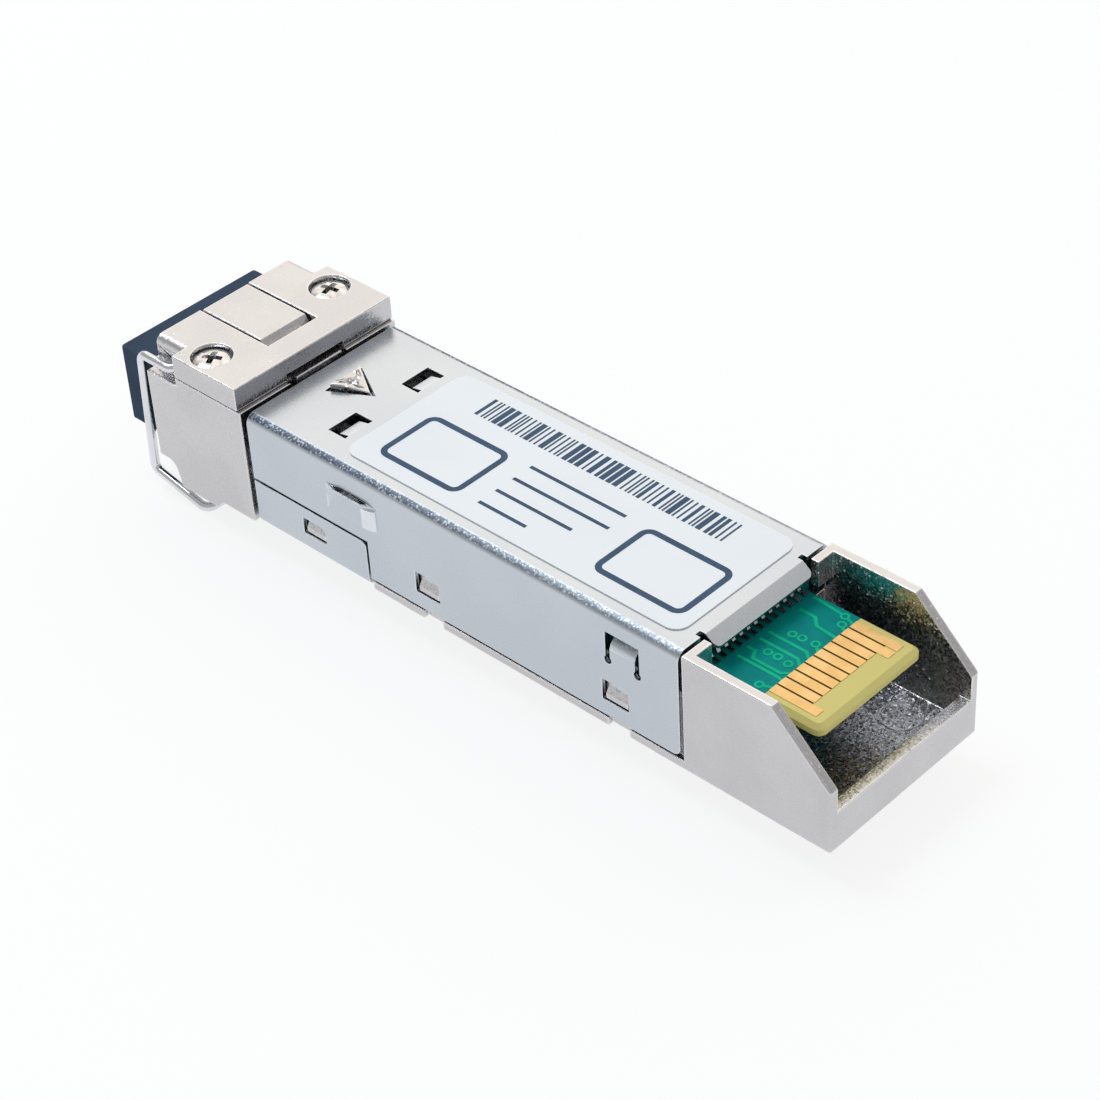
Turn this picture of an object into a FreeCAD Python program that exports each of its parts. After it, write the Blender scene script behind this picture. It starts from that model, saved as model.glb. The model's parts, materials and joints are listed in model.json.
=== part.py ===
import FreeCAD, Part
import math
import os
import re
import Sketcher

# A pluggable optical transceiver with one fibre port, lying with its label face up.
# X runs along the module: the port is at the front (-X), the card edge at the rear (+X).
# Lengths are in millimetres and are taken from the latch shoulder along X, from the middle plane
# along Y and from the underside of the body along Z. At the end every piece is moved by the same
# amount, so that the origin is at the middle of the underside of the whole module.

SIZES = [
    ("body_width", 13.4, "width over the cover and the rear shroud"),
    ("body_height", 8.5, "underside of the body to the label face"),
    ("rear_reach", 45.0, "latch shoulder to the rear end"),
    ("stop_reach", 2.5, "latch shoulder to the stop face of the nose"),
    ("nose_front", 11.65, "latch shoulder to the front of the nose"),
    ("shroud_length", 11.0, "rear edge of the cover to the rear end"),
    ("sheet_thick", 0.3, "thickness of the folded sheet"),
    ("bend_radius", 0.75, "outer radius of the sheet's bends"),
    ("fit_gap", 0.1, "clearance between nested pieces"),
    ("nose_gap", 0.35, "slit between the nose and the cover"),
    ("seam_gap", 0.25, "slit between the cover and the shroud"),
    ("floor_thick", 1.0, "floor of the base"),
    ("rail_thick", 1.2, "side rail that carries the board"),
    ("ledge_height", 0.6, "ledge under the lower edge of the cover"),
    ("notch_front", 13.0, "latch shoulder to the first notch in the ledge"),
    ("notch_length", 1.65, "length of a notch in the ledge"),
    ("rear_notch_inset", 5.6, "second notch to the rear edge of the cover"),
    ("wall_thick", 0.65, "side wall of the shroud"),
    ("rear_wall_thick", 0.8, "low rear wall of the shroud"),
    ("rear_wall_height", 2.7, "height of the low rear wall"),
    ("slope_run", 4.2, "length over which the side walls slope down"),
    ("slope_foot", 4.45, "height of the side walls at the rear end"),
    ("web_length", 0.6, "length of the webs at the front of the shroud"),
    ("web_reach", 2.0, "outer face of the shroud to the inner end of a web"),
    ("cast_round", 0.2, "rounded edges of the castings"),
    ("nose_lip", 0.15, "how far the nose stands out beyond the cover at each side"),
    ("chin_drop", 0.65, "how far the chin stands below the body"),
    ("chin_setback", 1.95, "front of the nose to the front of the chin"),
    ("chin_length", 4.2, "length of the chin"),
    ("scallop_top", 1.2, "height of the scallop in the nose's lower front"),
    ("scallop_depth", 1.45, "front of the nose to the rear of the scallop"),
    ("scallop_radius", 0.85, "inner radius of the scallop"),
    ("port_drop", 3.5, "label face to the fibre axis"),
    ("port_width", 4.7, "side of the square port"),
    ("port_wall", 2.55, "wall between the port and the back of the nose"),
    ("key_width", 2.6, "width of the connector latch's keyway"),
    ("key_depth", 0.9, "depth of the keyway below the port"),
    ("plate_thick", 1.75, "thickness of the retaining plate"),
    ("plate_inset", 0.25, "stop face to the rear edge of the plate"),
    ("plate_setback", 0.3, "front of the nose to the front edge of the plate"),
    ("plate_neck", 0.9, "how far the front of the plate is stepped in at each side"),
    ("neck_round", 0.6, "rounded upper edge of the stepped-in sides"),
    ("slot_width", 4.2, "width of the slot in the plate"),
    ("slot_wall", 2.0, "rear edge of the plate to the slot"),
    ("screw_behind", 2.6, "bail's axis to the screws"),
    ("screw_inset", 1.7, "side of the nose to a screw's axis"),
    ("recess_diameter", 2.75, "counterbore for a screw head"),
    ("recess_depth", 0.65, "depth of the counterbore"),
    ("head_diameter", 2.5, "screw head"),
    ("head_height", 0.55, "height of the screw head"),
    ("head_bevel", 0.18, "bevelled upper edge of the screw head"),
    ("cross_length", 1.5, "length of the cross recess"),
    ("cross_width", 0.36, "width of the cross recess"),
    ("cross_depth", 0.35, "depth of the cross recess"),
    ("shank_diameter", 1.5, "screw shank"),
    ("shank_length", 4.0, "screw shank below its head"),
    ("thread_gap", 0.03, "clearance round the screw shank"),
    ("pad_gap", 0.13, "gap between the rocker's pad and its slot"),
    ("pad_thick", 1.0, "thickness of the rocker's pad"),
    ("pad_slack", 0.9, "end of the slot to the rear edge of the pad's face"),
    ("pad_slope", 0.65, "length of the slope behind the pad's face"),
    ("channel_gap", 0.35, "gap beside the rocker in the channel under the plate"),
    ("arm_rise", 0.25, "top of the rocker above the label face, under the plate"),
    ("arm_thick", 0.6, "thickness of the arm under the cover"),
    ("arm_half", 1.4, "half width of the arm under the cover"),
    ("arm_rear", 2.6, "latch shoulder to the rear end of the arm"),
    ("fulcrum_inset", 1.25, "stop face to the rocker's axis"),
    ("fulcrum_drop", 0.6, "label face to the rocker's axis"),
    ("trunnion_radius", 0.5, "rocker's trunnions"),
    ("trunnion_reach", 2.9, "middle plane to the end of a trunnion"),
    ("rocker_gap", 0.3, "room for the rocker to tilt"),
    ("boss_width", 2.6, "width of the latch boss at its shoulder"),
    ("boss_length", 2.3, "length of the latch boss"),
    ("boss_height", 0.45, "latch boss above the label face"),
    ("boss_gap", 0.22, "clearance round the latch boss"),
    ("leaf_thick", 0.12, "leaf spring"),
    ("leaf_width", 3.0, "width of the leaf spring"),
    ("leaf_drop", 0.5, "how far the leaf slopes down, drawn pressed"),
    ("wire_diameter", 0.65, "bail wire"),
    ("pivot_setback", 2.3, "front of the nose to the bail's axis"),
    ("pivot_rise", 0.18, "bail's axis above the label face"),
    ("step_clear", 0.6, "bail's axis to the steps in the plate's sides"),
    ("leg_inset", 0.35, "side of the nose to the middle of a leg of the bail"),
    ("leg_clear", 0.8, "front of the nose to the upper bend of a leg"),
    ("leg_lean", 0.5, "how far the lower bend of a leg is ahead of the upper one"),
    ("leg_foot", 0.75, "underside of the body down to the lower bend of a leg"),
    ("bar_behind", 1.45, "bail's axis back to the bail's cross bar"),
    ("bar_drop", 1.85, "underside of the body down to the cross bar"),
    ("crank_offset", 0.55, "crank that lifts the rocker"),
    ("crank_half", 1.0, "half width of the crank"),
    ("crank_run", 0.6, "length of the slanted part of the crank"),
    ("butt_gap", 0.3, "gap between the ends of the wire"),
    ("wire_bend", 0.6, "bend radius of the wire's middle line"),
    ("crank_bend", 0.35, "bend radius at the crank"),
    ("bail_gap", 0.15, "clearance round the bail's axis"),
    ("clip_rear", 8.15, "latch shoulder to the rear edge of the clip"),
    ("clip_height", 3.45, "height of the clip's sides"),
    ("clip_slit", 0.18, "slit between the clip and the cover"),
    ("window_width", 2.05, "width of the windows in the cover"),
    ("window_bottom", 1.9, "lower edge of the windows in the cover"),
    ("window_height", 1.55, "height of the windows in the cover"),
    ("window_front", 12.5, "latch shoulder to the first window"),
    ("rear_window_inset", 6.0, "second window to the rear edge of the cover"),
    ("clip_window_front", 2.3, "latch shoulder to the clip's window"),
    ("clip_window_bottom", 1.43, "lower edge of the clip's window"),
    ("clip_window_height", 1.17, "height of the clip's window"),
    ("window_round", 0.45, "rounded corner of the clip's window"),
    ("peg_gap", 0.2, "gap beside the pegs in the windows"),
    ("peg_sink", 0.08, "face of the pegs below the face of the cover"),
    ("peg_lip", 0.35, "height of the upright face of a peg"),
    ("peg_slope", 0.55, "height of the sloping face of a peg"),
    ("tongue_inset", 5.6, "side tongue's cut-out to the rear edge of the cover"),
    ("tongue_length", 2.6, "length of the side tongue's cut-out"),
    ("tongue_drop", 1.3, "label face to the side tongue's cut-out"),
    ("tongue_height", 2.2, "height of the side tongue's cut-out"),
    ("tongue_slot", 0.32, "width of the slot round a tongue"),
    ("tongue_bend", 0.5, "how far the end of the side tongue turns in"),
    ("tongue_roll", 0.7, "height over which the side tongue turns in"),
    ("tongue_bulb", 0.27, "radius of the round ends of the slots beside it"),
    ("catch_front", 3.05, "latch shoulder to the cut-outs in the top"),
    ("catch_length", 1.5, "length of a cut-out in the top"),
    ("catch_inner", 2.0, "middle plane to the inner end of a cut-out"),
    ("catch_width", 2.35, "width of a cut-out in the top"),
    ("catch_bend", 0.2, "how far the tongues in the top lean down"),
    ("louvre_front", 4.95, "latch shoulder to the lanced bump"),
    ("louvre_length", 4.45, "length of the lanced bump"),
    ("louvre_drop", 1.8, "label face to the upper edge of the lanced bump"),
    ("louvre_height", 2.0, "height of the lanced bump"),
    ("louvre_bulge", 0.3, "how far the bump stands out"),
    ("louvre_lip", 0.12, "thickness of the bump's lip"),
    ("louvre_end", 1.0, "length of the bump's sloping ends"),
    ("flap_run", 0.87, "length of the rear flap along the module"),
    ("flap_drop", 0.63, "how far the rear flap slopes down"),
    ("flap_round", 0.45, "rounded free corners of the rear flap"),
    ("flap_notch", 0.4, "width of the notch at each end of the flap"),
    ("flap_notch_length", 0.4, "length of the notch at each end of the flap"),
    ("corner_round", 0.6, "rounded lower rear corners of the cover"),
    ("label_front", 5.4, "latch shoulder to the label"),
    ("label_margin", 1.35, "side of the cover to the label"),
    ("label_rear_margin", 1.1, "label to the rear edge of the cover"),
    ("label_thick", 0.08, "thickness of the label"),
    ("label_round", 1.0, "corner radius of the label"),
    ("board_depth", 2.1, "label face to the upper face of the board"),
    ("board_thick", 1.0, "thickness of the board"),
    ("board_inset", 2.45, "rear edge of the board to the rear end"),
    ("board_gap", 1.8, "laser can to the front edge of the board"),
    ("board_side_gap", 0.7, "side of the board to the inside of the cover"),
    ("board_step_inset", 0.6, "step to the card edge, ahead of the cover's rear edge"),
    ("card_width", 9.2, "width of the card edge"),
    ("card_round", 0.6, "rounded corners of the card edge"),
    ("card_bevel", 0.3, "bevel along the card edge"),
    ("contact_pitch", 0.8, "contact to contact"),
    ("contact_width", 0.66, "width of a contact"),
    ("contact_inset", 4.25, "front of the contacts to the rear edge of the board"),
    ("contact_long", 3.4, "length of a long contact"),
    ("contact_short", 2.6, "length of a short contact"),
    ("contact_thick", 0.04, "thickness of a contact"),
    ("barrel_diameter", 2.9, "receptacle barrel"),
    ("barrel_setback", 2.45, "front of the nose to the front of the barrel"),
    ("flange_diameter", 3.9, "flange of the barrel"),
    ("flange_thick", 0.8, "thickness of the flange"),
    ("sleeve_diameter", 2.0, "ceramic sleeve"),
    ("sleeve_length", 6.0, "length of the ceramic sleeve"),
    ("fibre_bore", 1.25, "bore of the ceramic sleeve"),
    ("block_front", 3.4, "latch shoulder to the optical block"),
    ("block_length", 4.8, "length of the optical block"),
    ("block_side", 5.2, "height and width of the optical block"),
    ("can_diameter", 4.2, "laser and detector cans"),
    ("laser_length", 2.2, "length of the laser can behind the block"),
    ("detector_gap", 0.65, "flex on the detector can to the side rail"),
    ("flex_thick", 0.15, "flex strips"),
    ("flex_width", 3.2, "width of a flex strip"),
    ("flex_lap", 1.5, "length of a flex strip on the board"),
    ("chip_height", 0.85, "height of the chips"),
    ("driver_side", 5.0, "side of the driver chip"),
    ("driver_inset", 6.8, "front of the board to the middle of the driver chip"),
    ("controller_length", 4.4, "length of the controller chip"),
    ("controller_width", 9.0, "width of the controller chip"),
    ("controller_inset", 6.85, "middle of the controller chip to the contacts"),
    ("chip_part_length", 1.0, "length of a chip capacitor"),
    ("chip_part_width", 0.5, "width of a chip capacitor"),
    ("chip_part_height", 0.5, "height of a chip capacitor"),
    ("chip_part_pitch", 1.3, "chip capacitor to chip capacitor"),
    ("resistor_height", 0.35, "height of a chip resistor"),
    ("lead_pitch", 0.65, "lead to lead of the controller chip"),
    ("lead_width", 0.26, "width of a soldered lead"),
    ("lead_reach", 1.0, "side of the controller chip to the end of a lead"),
    ("lead_foot", 0.55, "length of a lead on the board"),
    ("lead_thick", 0.13, "thickness of a lead with its solder"),
    ("plug_head", 3.8, "how far the dust plug stands out of the nose"),
    ("plug_side_gap", 0.25, "gap between the dust plug and a leg of the bail"),
    ("plug_rise", 2.75, "fibre axis to the dust plug's upper face"),
    ("plug_fall", 3.1, "fibre axis to the dust plug's lower face"),
    ("plug_round", 0.25, "rounded corners of the dust plug"),
    ("plug_clear", 0.2, "clearance of the dust plug in the port"),
    ("plug_bore_gap", 0.3, "clearance of the dust plug round the barrel"),
    ("plug_end", 0.6, "end of the dust plug's stem to the end of the port"),
]
ALIASES = {alias for alias, size, meaning in SIZES}

CONTACTS = 10
LONG_CONTACTS = (0, 8, 9)
LEADS_IN_ROW = 13
CHIP_PARTS = 5
CRANK_RUNS = 2
BEND_RUNS = 4

doc = FreeCAD.newDocument("transceiver")
sheet = doc.addObject("Spreadsheet::Sheet", "sizes")
for row, (alias, size, meaning) in enumerate(SIZES, start=1):
    sheet.set("A%d" % row, meaning)
    sheet.set("B%d" % row, str(size))
    sheet.setAlias("B%d" % row, alias)
doc.recompute()

# Places along the module that several features share
COVER_FRONT = "(nose_gap - stop_reach)"
COVER_REAR = "(rear_reach - shroud_length)"
SHROUD_FRONT = "(rear_reach - shroud_length + seam_gap)"
PIVOT_PLACE = "(pivot_setback - nose_front)"
STEP_PLACE = "(pivot_setback + step_clear - nose_front)"
SCREW_PLACE = "(pivot_setback + screw_behind - nose_front)"
PLATE_FRONT = "(plate_setback - nose_front)"
PLATE_REAR = "(-stop_reach - plate_inset)"
SLOT_REAR = "(-stop_reach - plate_inset - slot_wall)"
PORT_REAR = "(-stop_reach - port_wall)"
PORT_DEPTH = "(nose_front - stop_reach - port_wall)"
FULCRUM_PLACE = "(-stop_reach - fulcrum_inset)"
ELBOW_PLACE = "(rocker_gap/3 - stop_reach)"
PLUG_FRONT = "(-nose_front - plug_head)"
BARREL_FRONT = "(barrel_setback - nose_front)"
TONGUE_FRONT = "(rear_reach - shroud_length - tongue_inset)"
LASER_REAR = "(block_front + block_length + laser_length)"
BOARD_FRONT = "(block_front + block_length + laser_length + board_gap)"
BOARD_REAR = "(rear_reach - board_inset)"
CONTACT_FRONT = "(rear_reach - board_inset - contact_inset)"
DRIVER_PLACE = "(block_front + block_length + laser_length + board_gap + driver_inset)"
CONTROLLER_PLACE = "(rear_reach - board_inset - contact_inset - controller_inset)"

# Places across the module
NOSE_HALF = "(body_width/2 + nose_lip)"
NECK_HALF = "(body_width/2 + nose_lip - plate_neck)"
SCREW_SIDE = "(body_width/2 + nose_lip - screw_inset)"
LEG_SIDE = "(body_width/2 + nose_lip - leg_inset)"
INNER_HALF = "(body_width/2 - sheet_thick - fit_gap)"
RAIL_HALF = "(body_width/2 - sheet_thick - fit_gap - rail_thick)"
BOARD_HALF = "(body_width/2 - sheet_thick - fit_gap - board_side_gap)"
DETECTOR_FACE = "(body_width/2 - sheet_thick - fit_gap - rail_thick - flex_thick - detector_gap)"
FLAP_HALF = "(body_width/2 - web_reach - flap_notch)"
PAD_HALF = "(slot_width/2 - pad_gap)"
CHANNEL_HALF = "(slot_width/2 + channel_gap)"
WIRE_RADIUS = "(wire_diameter/2)"
GROOVE_HALF = "(wire_diameter/2 + bail_gap)"

# Heights
PORT_AXIS = "(body_height - port_drop)"
BOARD_TOP = "(body_height - board_depth)"
BOARD_BASE = "(body_height - board_depth - board_thick)"
PLATE_TOP = "(body_height + plate_thick)"
PIVOT_HEIGHT = "(body_height + pivot_rise)"
FULCRUM_HEIGHT = "(body_height - fulcrum_drop)"
ARM_TOP = "(body_height - sheet_thick - 1.5*fit_gap)"
ARM_BASE = "(body_height - sheet_thick - 1.5*fit_gap - arm_thick)"
TONGUE_TOP = "(body_height - tongue_drop)"
TONGUE_BASE = "(body_height - tongue_drop - tongue_height)"
LOUVRE_TOP = "(body_height - louvre_drop)"
LOUVRE_BASE = "(body_height - louvre_drop - louvre_height)"


def bound(text):
    """Return a size expression with every alias named in full."""
    def full_name(match):
        word = match.group()
        return "sizes." + word if word in ALIASES else word
    return re.sub(r"[a-z][a-z_]*", full_name, text)


def value(text):
    """Return the number that a size expression gives."""
    return float(sheet.evalExpression(text))


def minus(text):
    """Return the expression's negative."""
    return "-(%s)" % text


def rectangle(left, right, low, high):
    """Return the corners of a rectangle."""
    return [(left, low), (right, low), (right, high), (left, high)]


def new_body(label):
    """Make an empty body with a label of its own."""
    body = doc.addObject("PartDesign::Body", label)
    body.Label = label
    return body


def outline(body, name, plane, start, loops, circles):
    """Draw loops of straight sides and circles on a plane of the body, a distance along its normal."""
    sketch = body.newObject("Sketcher::SketchObject", name + "_outline")
    support = [item for item in body.Origin.OriginFeatures if item.Role == plane][0]
    sketch.AttachmentSupport = (support, [""])
    sketch.MapMode = "FlatFace"
    sketch.setExpression("AttachmentOffset.Base.z", bound(start))
    for loop in loops:
        corners = [FreeCAD.Vector(value(across), value(along), 0) for across, along in loop]
        first = sketch.GeometryCount
        count = len(corners)
        for index in range(count):
            sketch.addGeometry(Part.LineSegment(corners[index], corners[(index + 1) % count]))
        for index in range(count):
            following = first + (index + 1) % count
            sketch.addConstraint(Sketcher.Constraint("Coincident", first + index, 2, following, 1))
        for index, (across, along) in enumerate(loop):
            for kind, text in (("DistanceX", across), ("DistanceY", along)):
                rule = Sketcher.Constraint(kind, -1, 1, first + index, 1, value(text))
                number = sketch.addConstraint(rule)
                sketch.setExpression("Constraints[%d]" % number, bound(text))
    for across, along, radius in circles:
        middle = FreeCAD.Vector(value(across), value(along), 0)
        ring = sketch.addGeometry(Part.Circle(middle, FreeCAD.Vector(0, 0, 1), value(radius)))
        rules = [
            (Sketcher.Constraint("DistanceX", -1, 1, ring, 3, value(across)), across),
            (Sketcher.Constraint("DistanceY", -1, 1, ring, 3, value(along)), along),
            (Sketcher.Constraint("Radius", ring, value(radius)), radius),
        ]
        for rule, text in rules:
            number = sketch.addConstraint(rule)
            sketch.setExpression("Constraints[%d]" % number, bound(text))
    return sketch


def settle(feature):
    """Recompute, and see that the newest feature has a shape."""
    doc.recompute()
    if "Invalid" in feature.State or feature.Shape.isNull():
        raise RuntimeError("%s failed: %s" % (feature.Name, feature.getStatusString()))
    return feature


def add(body, name, plane, start, depth, loops=(), circles=()):
    """Pad an outline along the plane's normal."""
    sketch = outline(body, name, plane, start, loops, circles)
    pad = body.newObject("PartDesign::Pad", name)
    pad.Profile = sketch
    pad.setExpression("Length", bound(depth))
    return settle(pad)


def cut(body, name, plane, start, depth, loops=(), circles=()):
    """Pocket an outline along the plane's normal, and see that it takes material away."""
    before = body.Tip.Shape.Volume
    sketch = outline(body, name, plane, start, loops, circles)
    pocket = body.newObject("PartDesign::Pocket", name)
    pocket.Profile = sketch
    pocket.Reversed = True
    pocket.setExpression("Length", bound(depth))
    settle(pocket)
    if not body.Tip.Shape.Volume < before:
        raise RuntimeError("%s cuts nothing" % name)
    return pocket


def spans_of(edge):
    """Return the lowest and highest place of an edge along each axis."""
    box = edge.BoundBox
    return {"x": (box.XMin, box.XMax), "y": (box.YMin, box.YMax), "z": (box.ZMin, box.ZMax)}


def edges_along(body, axis, **places):
    """Return the names of the body's straight edges along an axis, at the places given for the others."""
    names = []
    for number, edge in enumerate(body.Tip.Shape.Edges, start=1):
        spans = spans_of(edge)
        others = [spans[name] for name in "xyz" if name != axis]
        straight = all(high - low < 1e-4 for low, high in others)
        middle = {name: (low + high) / 2 for name, (low, high) in spans.items()}
        matches = all(
            any(abs(middle[name] - value(text)) < 1e-3 for text in texts) for name, texts in places.items()
        )
        if straight and matches:
            names.append("Edge%d" % number)
    return names


def edges_within(body, **limits):
    """Return the names of the body's edges that lie between the limits given along the axes."""
    names = []
    for number, edge in enumerate(body.Tip.Shape.Edges, start=1):
        spans = spans_of(edge)
        inside = all(
            value(low) - 1e-3 < spans[axis][0] and spans[axis][1] < value(high) + 1e-3
            for axis, (low, high) in limits.items()
        )
        if inside:
            names.append("Edge%d" % number)
    return names


def round_edges(body, name, radius, names):
    """Round the named edges of the body."""
    before = body.Tip
    fillet = body.newObject("PartDesign::Fillet", name)
    fillet.Base = (before, names)
    fillet.setExpression("Radius", bound(radius))
    return settle(fillet)


def bevel_edges(body, name, length, names):
    """Bevel the named edges of the body."""
    before = body.Tip
    chamfer = body.newObject("PartDesign::Chamfer", name)
    chamfer.Base = (before, names)
    chamfer.setExpression("Size", bound(length))
    return settle(chamfer)


def both_sides(inner, outer):
    """Return the two ranges across the module that mirror each other."""
    return [(inner, outer), (minus(outer), minus(inner))]


def block(name, left, right, near, far, low, high):
    """Make a box between six places."""
    box = doc.addObject("Part::Box", name)
    box.setExpression("Length", bound("(%s) - (%s)" % (right, left)))
    box.setExpression("Width", bound("(%s) - (%s)" % (far, near)))
    box.setExpression("Height", bound("(%s) - (%s)" % (high, low)))
    for axis, text in (("x", left), ("y", near), ("z", low)):
        box.setExpression("Placement.Base.%s" % axis, bound(text))
    return box


def group(label, members):
    """Gather separate solids in one piece."""
    gathered = doc.addObject("Part::Compound", label)
    gathered.Label = label
    gathered.Links = members
    return gathered


def make_base():
    """Cast base: nose with the port, floor with rails, and the shroud round the card edge."""
    base = new_body("base_housing")
    make_nose(base)
    make_tray(base)
    make_shroud(base)
    cut_ledges(base)
    add_pegs(base)
    cut_port(base)
    cut_latch_seats(base)
    return base


def make_nose(base):
    """Nose block with its chin and the scallop under the port."""
    scallop_rear = "scallop_depth - nose_front"
    chin_front = "chin_setback - nose_front"
    chin_rear = "chin_setback + chin_length - nose_front"
    add(base, "nose", "XZ_Plane", minus(NOSE_HALF), "2*" + NOSE_HALF, [[
        ("-stop_reach", "0"),
        ("-stop_reach", "body_height"),
        ("-nose_front", "body_height"),
        ("-nose_front", "scallop_top"),
        (scallop_rear, "scallop_top"),
        (chin_front, "-chin_drop"),
        (chin_rear + " - chin_drop", "-chin_drop"),
        (chin_rear, "0"),
    ]])
    scallop = edges_along(base, "y", x=[scallop_rear], z=["scallop_top"])
    round_edges(base, "scallop_round", "scallop_radius", scallop)
    lips = edges_along(base, "y", z=["-chin_drop"]) + edges_along(base, "y", x=[chin_rear], z=["0"])
    round_edges(base, "chin_round", "cast_round", lips)
    corners = edges_along(base, "z", x=["-stop_reach"], y=[NOSE_HALF, minus(NOSE_HALF)])
    round_edges(base, "stop_round", "cast_round/2", corners)


def make_tray(base):
    """Floor under the cover, with the ledges under the cover's sides and the rails of the board."""
    add(base, "floor", "XY_Plane", "0", "floor_thick", [
        rectangle("-stop_reach", SHROUD_FRONT, minus(INNER_HALF), INNER_HALF),
    ])
    ledge_front = "clip_rear + 2*clip_slit"
    add(base, "ledges", "XY_Plane", "0", "ledge_height", [
        rectangle(ledge_front, SHROUD_FRONT, "-body_width/2", "body_width/2"),
    ])
    add(base, "rails", "XY_Plane", "floor_thick", BOARD_BASE + " - floor_thick", [
        rectangle("-stop_reach", SHROUD_FRONT, near, far) for near, far in both_sides(RAIL_HALF, INNER_HALF)
    ])


def make_shroud(base):
    """Shroud round the card edge: sloping side walls, low rear wall and two webs beside the flap."""
    half = "body_width/2"
    add(base, "shroud", "XZ_Plane", minus(half), "body_width", [[
        (SHROUD_FRONT, "0"),
        ("rear_reach", "0"),
        ("rear_reach", "slope_foot"),
        ("rear_reach - slope_run", "body_height"),
        (SHROUD_FRONT, "body_height"),
    ]])
    bay_half = half + " - wall_thick"
    bay_rear = "rear_reach - rear_wall_thick"
    cut(base, "bay", "XY_Plane", "floor_thick", "body_height", [
        rectangle(SHROUD_FRONT, bay_rear, minus(bay_half), bay_half),
    ])
    cut(base, "mouth", "YZ_Plane", bay_rear, "rear_wall_thick", [
        rectangle(minus(bay_half), bay_half, "rear_wall_height", "body_height"),
    ])
    web_base = BOARD_TOP + " + 2*fit_gap"
    add(base, "webs", "XY_Plane", web_base, "board_depth - 2*fit_gap", [
        rectangle(SHROUD_FRONT, SHROUD_FRONT + " + web_length", near, far)
        for near, far in both_sides(half + " - web_reach", bay_half)
    ])
    outer = edges_along(base, "z", x=["rear_reach"], y=[half, minus(half)])
    round_edges(base, "rear_round", "cast_round", outer)
    tops = []
    for side in (half, minus(half)):
        span = (SHROUD_FRONT, "rear_reach")
        tops += edges_within(base, x=span, y=(side, side), z=("slope_foot", "body_height"))
    round_edges(base, "shroud_round", "cast_round/2", tops)


def cut_ledges(base):
    """Notches in the ledges, and the recess of the clip under the front of the tray."""
    notches = []
    for place in ("notch_front", COVER_REAR + " - rear_notch_inset"):
        for near, far in both_sides(INNER_HALF, "body_width/2 + fit_gap"):
            notches.append(rectangle(place, place + " + notch_length", near, far))
    cut(base, "ledge_notches", "XY_Plane", "0", "ledge_height", notches)
    cut(base, "clip_recess", "XY_Plane", "0", "sheet_thick + fit_gap", [
        rectangle("-stop_reach", "clip_rear + clip_slit", "-body_width/2", "body_width/2"),
    ])


def add_pegs(base):
    """Wedge-shaped pegs on the rails that show in the windows of the cover and the clip."""
    face = "(body_width/2 - peg_sink)"
    for number, (place, bottom, height) in enumerate(window_places(), start=1):
        low = bottom + " + peg_gap/2"
        add(base, "pegs_%d" % number, "YZ_Plane", place + " + peg_gap", "window_width - 1.5*peg_gap", [
            [(side + INNER_HALF, low), (side + face, low), (side + face, low + " + peg_lip"),
             (side + INNER_HALF, low + " + peg_lip + peg_slope")]
            for side in ("", "-")
        ])


def cut_port(base):
    """Square fibre port with its keyway, and the bore of the receptacle behind it."""
    side = "port_width/2"
    cut(base, "port", "YZ_Plane", "-nose_front", PORT_DEPTH, [
        rectangle("-port_width/2", side, PORT_AXIS + " - " + side, PORT_AXIS + " + " + side),
    ])
    cut(base, "keyway", "YZ_Plane", "-nose_front", PORT_DEPTH, [
        rectangle("-key_width/2", "key_width/2", PORT_AXIS + " - port_width/2 - key_depth", PORT_AXIS),
    ])
    cut(base, "barrel_bore", "YZ_Plane", "-nose_front", "nose_front - stop_reach", circles=[
        ("0", PORT_AXIS, "barrel_diameter/2 + fit_gap"),
    ])


def cut_latch_seats(base):
    """Channels and seats in the top of the nose for the rocker, the bail and the screws."""
    pad_floor = PIVOT_HEIGHT + " - wire_diameter"
    cut(base, "pad_channel", "XY_Plane", pad_floor, "body_height", [
        rectangle("-nose_front", "-stop_reach", minus(CHANNEL_HALF), CHANNEL_HALF),
    ])
    arm_floor = ARM_BASE + " - rocker_gap"
    cut(base, "arm_channel", "XY_Plane", arm_floor, "body_height", [
        rectangle(PORT_REAR + " + rocker_gap", "-stop_reach", minus(CHANNEL_HALF), CHANNEL_HALF),
    ])
    seat = "trunnion_radius + fit_gap"
    reach = "trunnion_reach + fit_gap"
    cut(base, "trunnion_seats", "XY_Plane", "%s - (%s)" % (FULCRUM_HEIGHT, seat), "body_height", [
        rectangle(
            "%s - (%s)" % (FULCRUM_PLACE, seat), "%s + %s" % (FULCRUM_PLACE, seat), minus(reach), reach,
        ),
    ])
    cut(base, "bail_groove", "XY_Plane", PIVOT_HEIGHT + " - " + GROOVE_HALF, "body_height", [
        rectangle(
            PIVOT_PLACE + " - " + GROOVE_HALF, PIVOT_PLACE + " + " + GROOVE_HALF, minus(NOSE_HALF), NOSE_HALF,
        ),
    ])
    cut(base, "bail_ledges", "XY_Plane", "body_height - plate_neck*2/3", "body_height", [
        rectangle("-nose_front", STEP_PLACE, near, far) for near, far in both_sides(NECK_HALF, NOSE_HALF)
    ])
    cut(base, "screw_holes", "XY_Plane", "body_height - shank_length", "body_height", circles=[
        (SCREW_PLACE, place, "shank_diameter/2 + thread_gap") for place in (SCREW_SIDE, minus(SCREW_SIDE))
    ])


def window_places():
    """Return the place, lower edge and height of each window that shows a peg."""
    return [
        ("clip_window_front", "clip_window_bottom", "clip_window_height"),
        ("window_front", "window_bottom", "window_height"),
        (COVER_REAR + " - rear_window_inset", "window_bottom", "window_height"),
    ]


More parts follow.
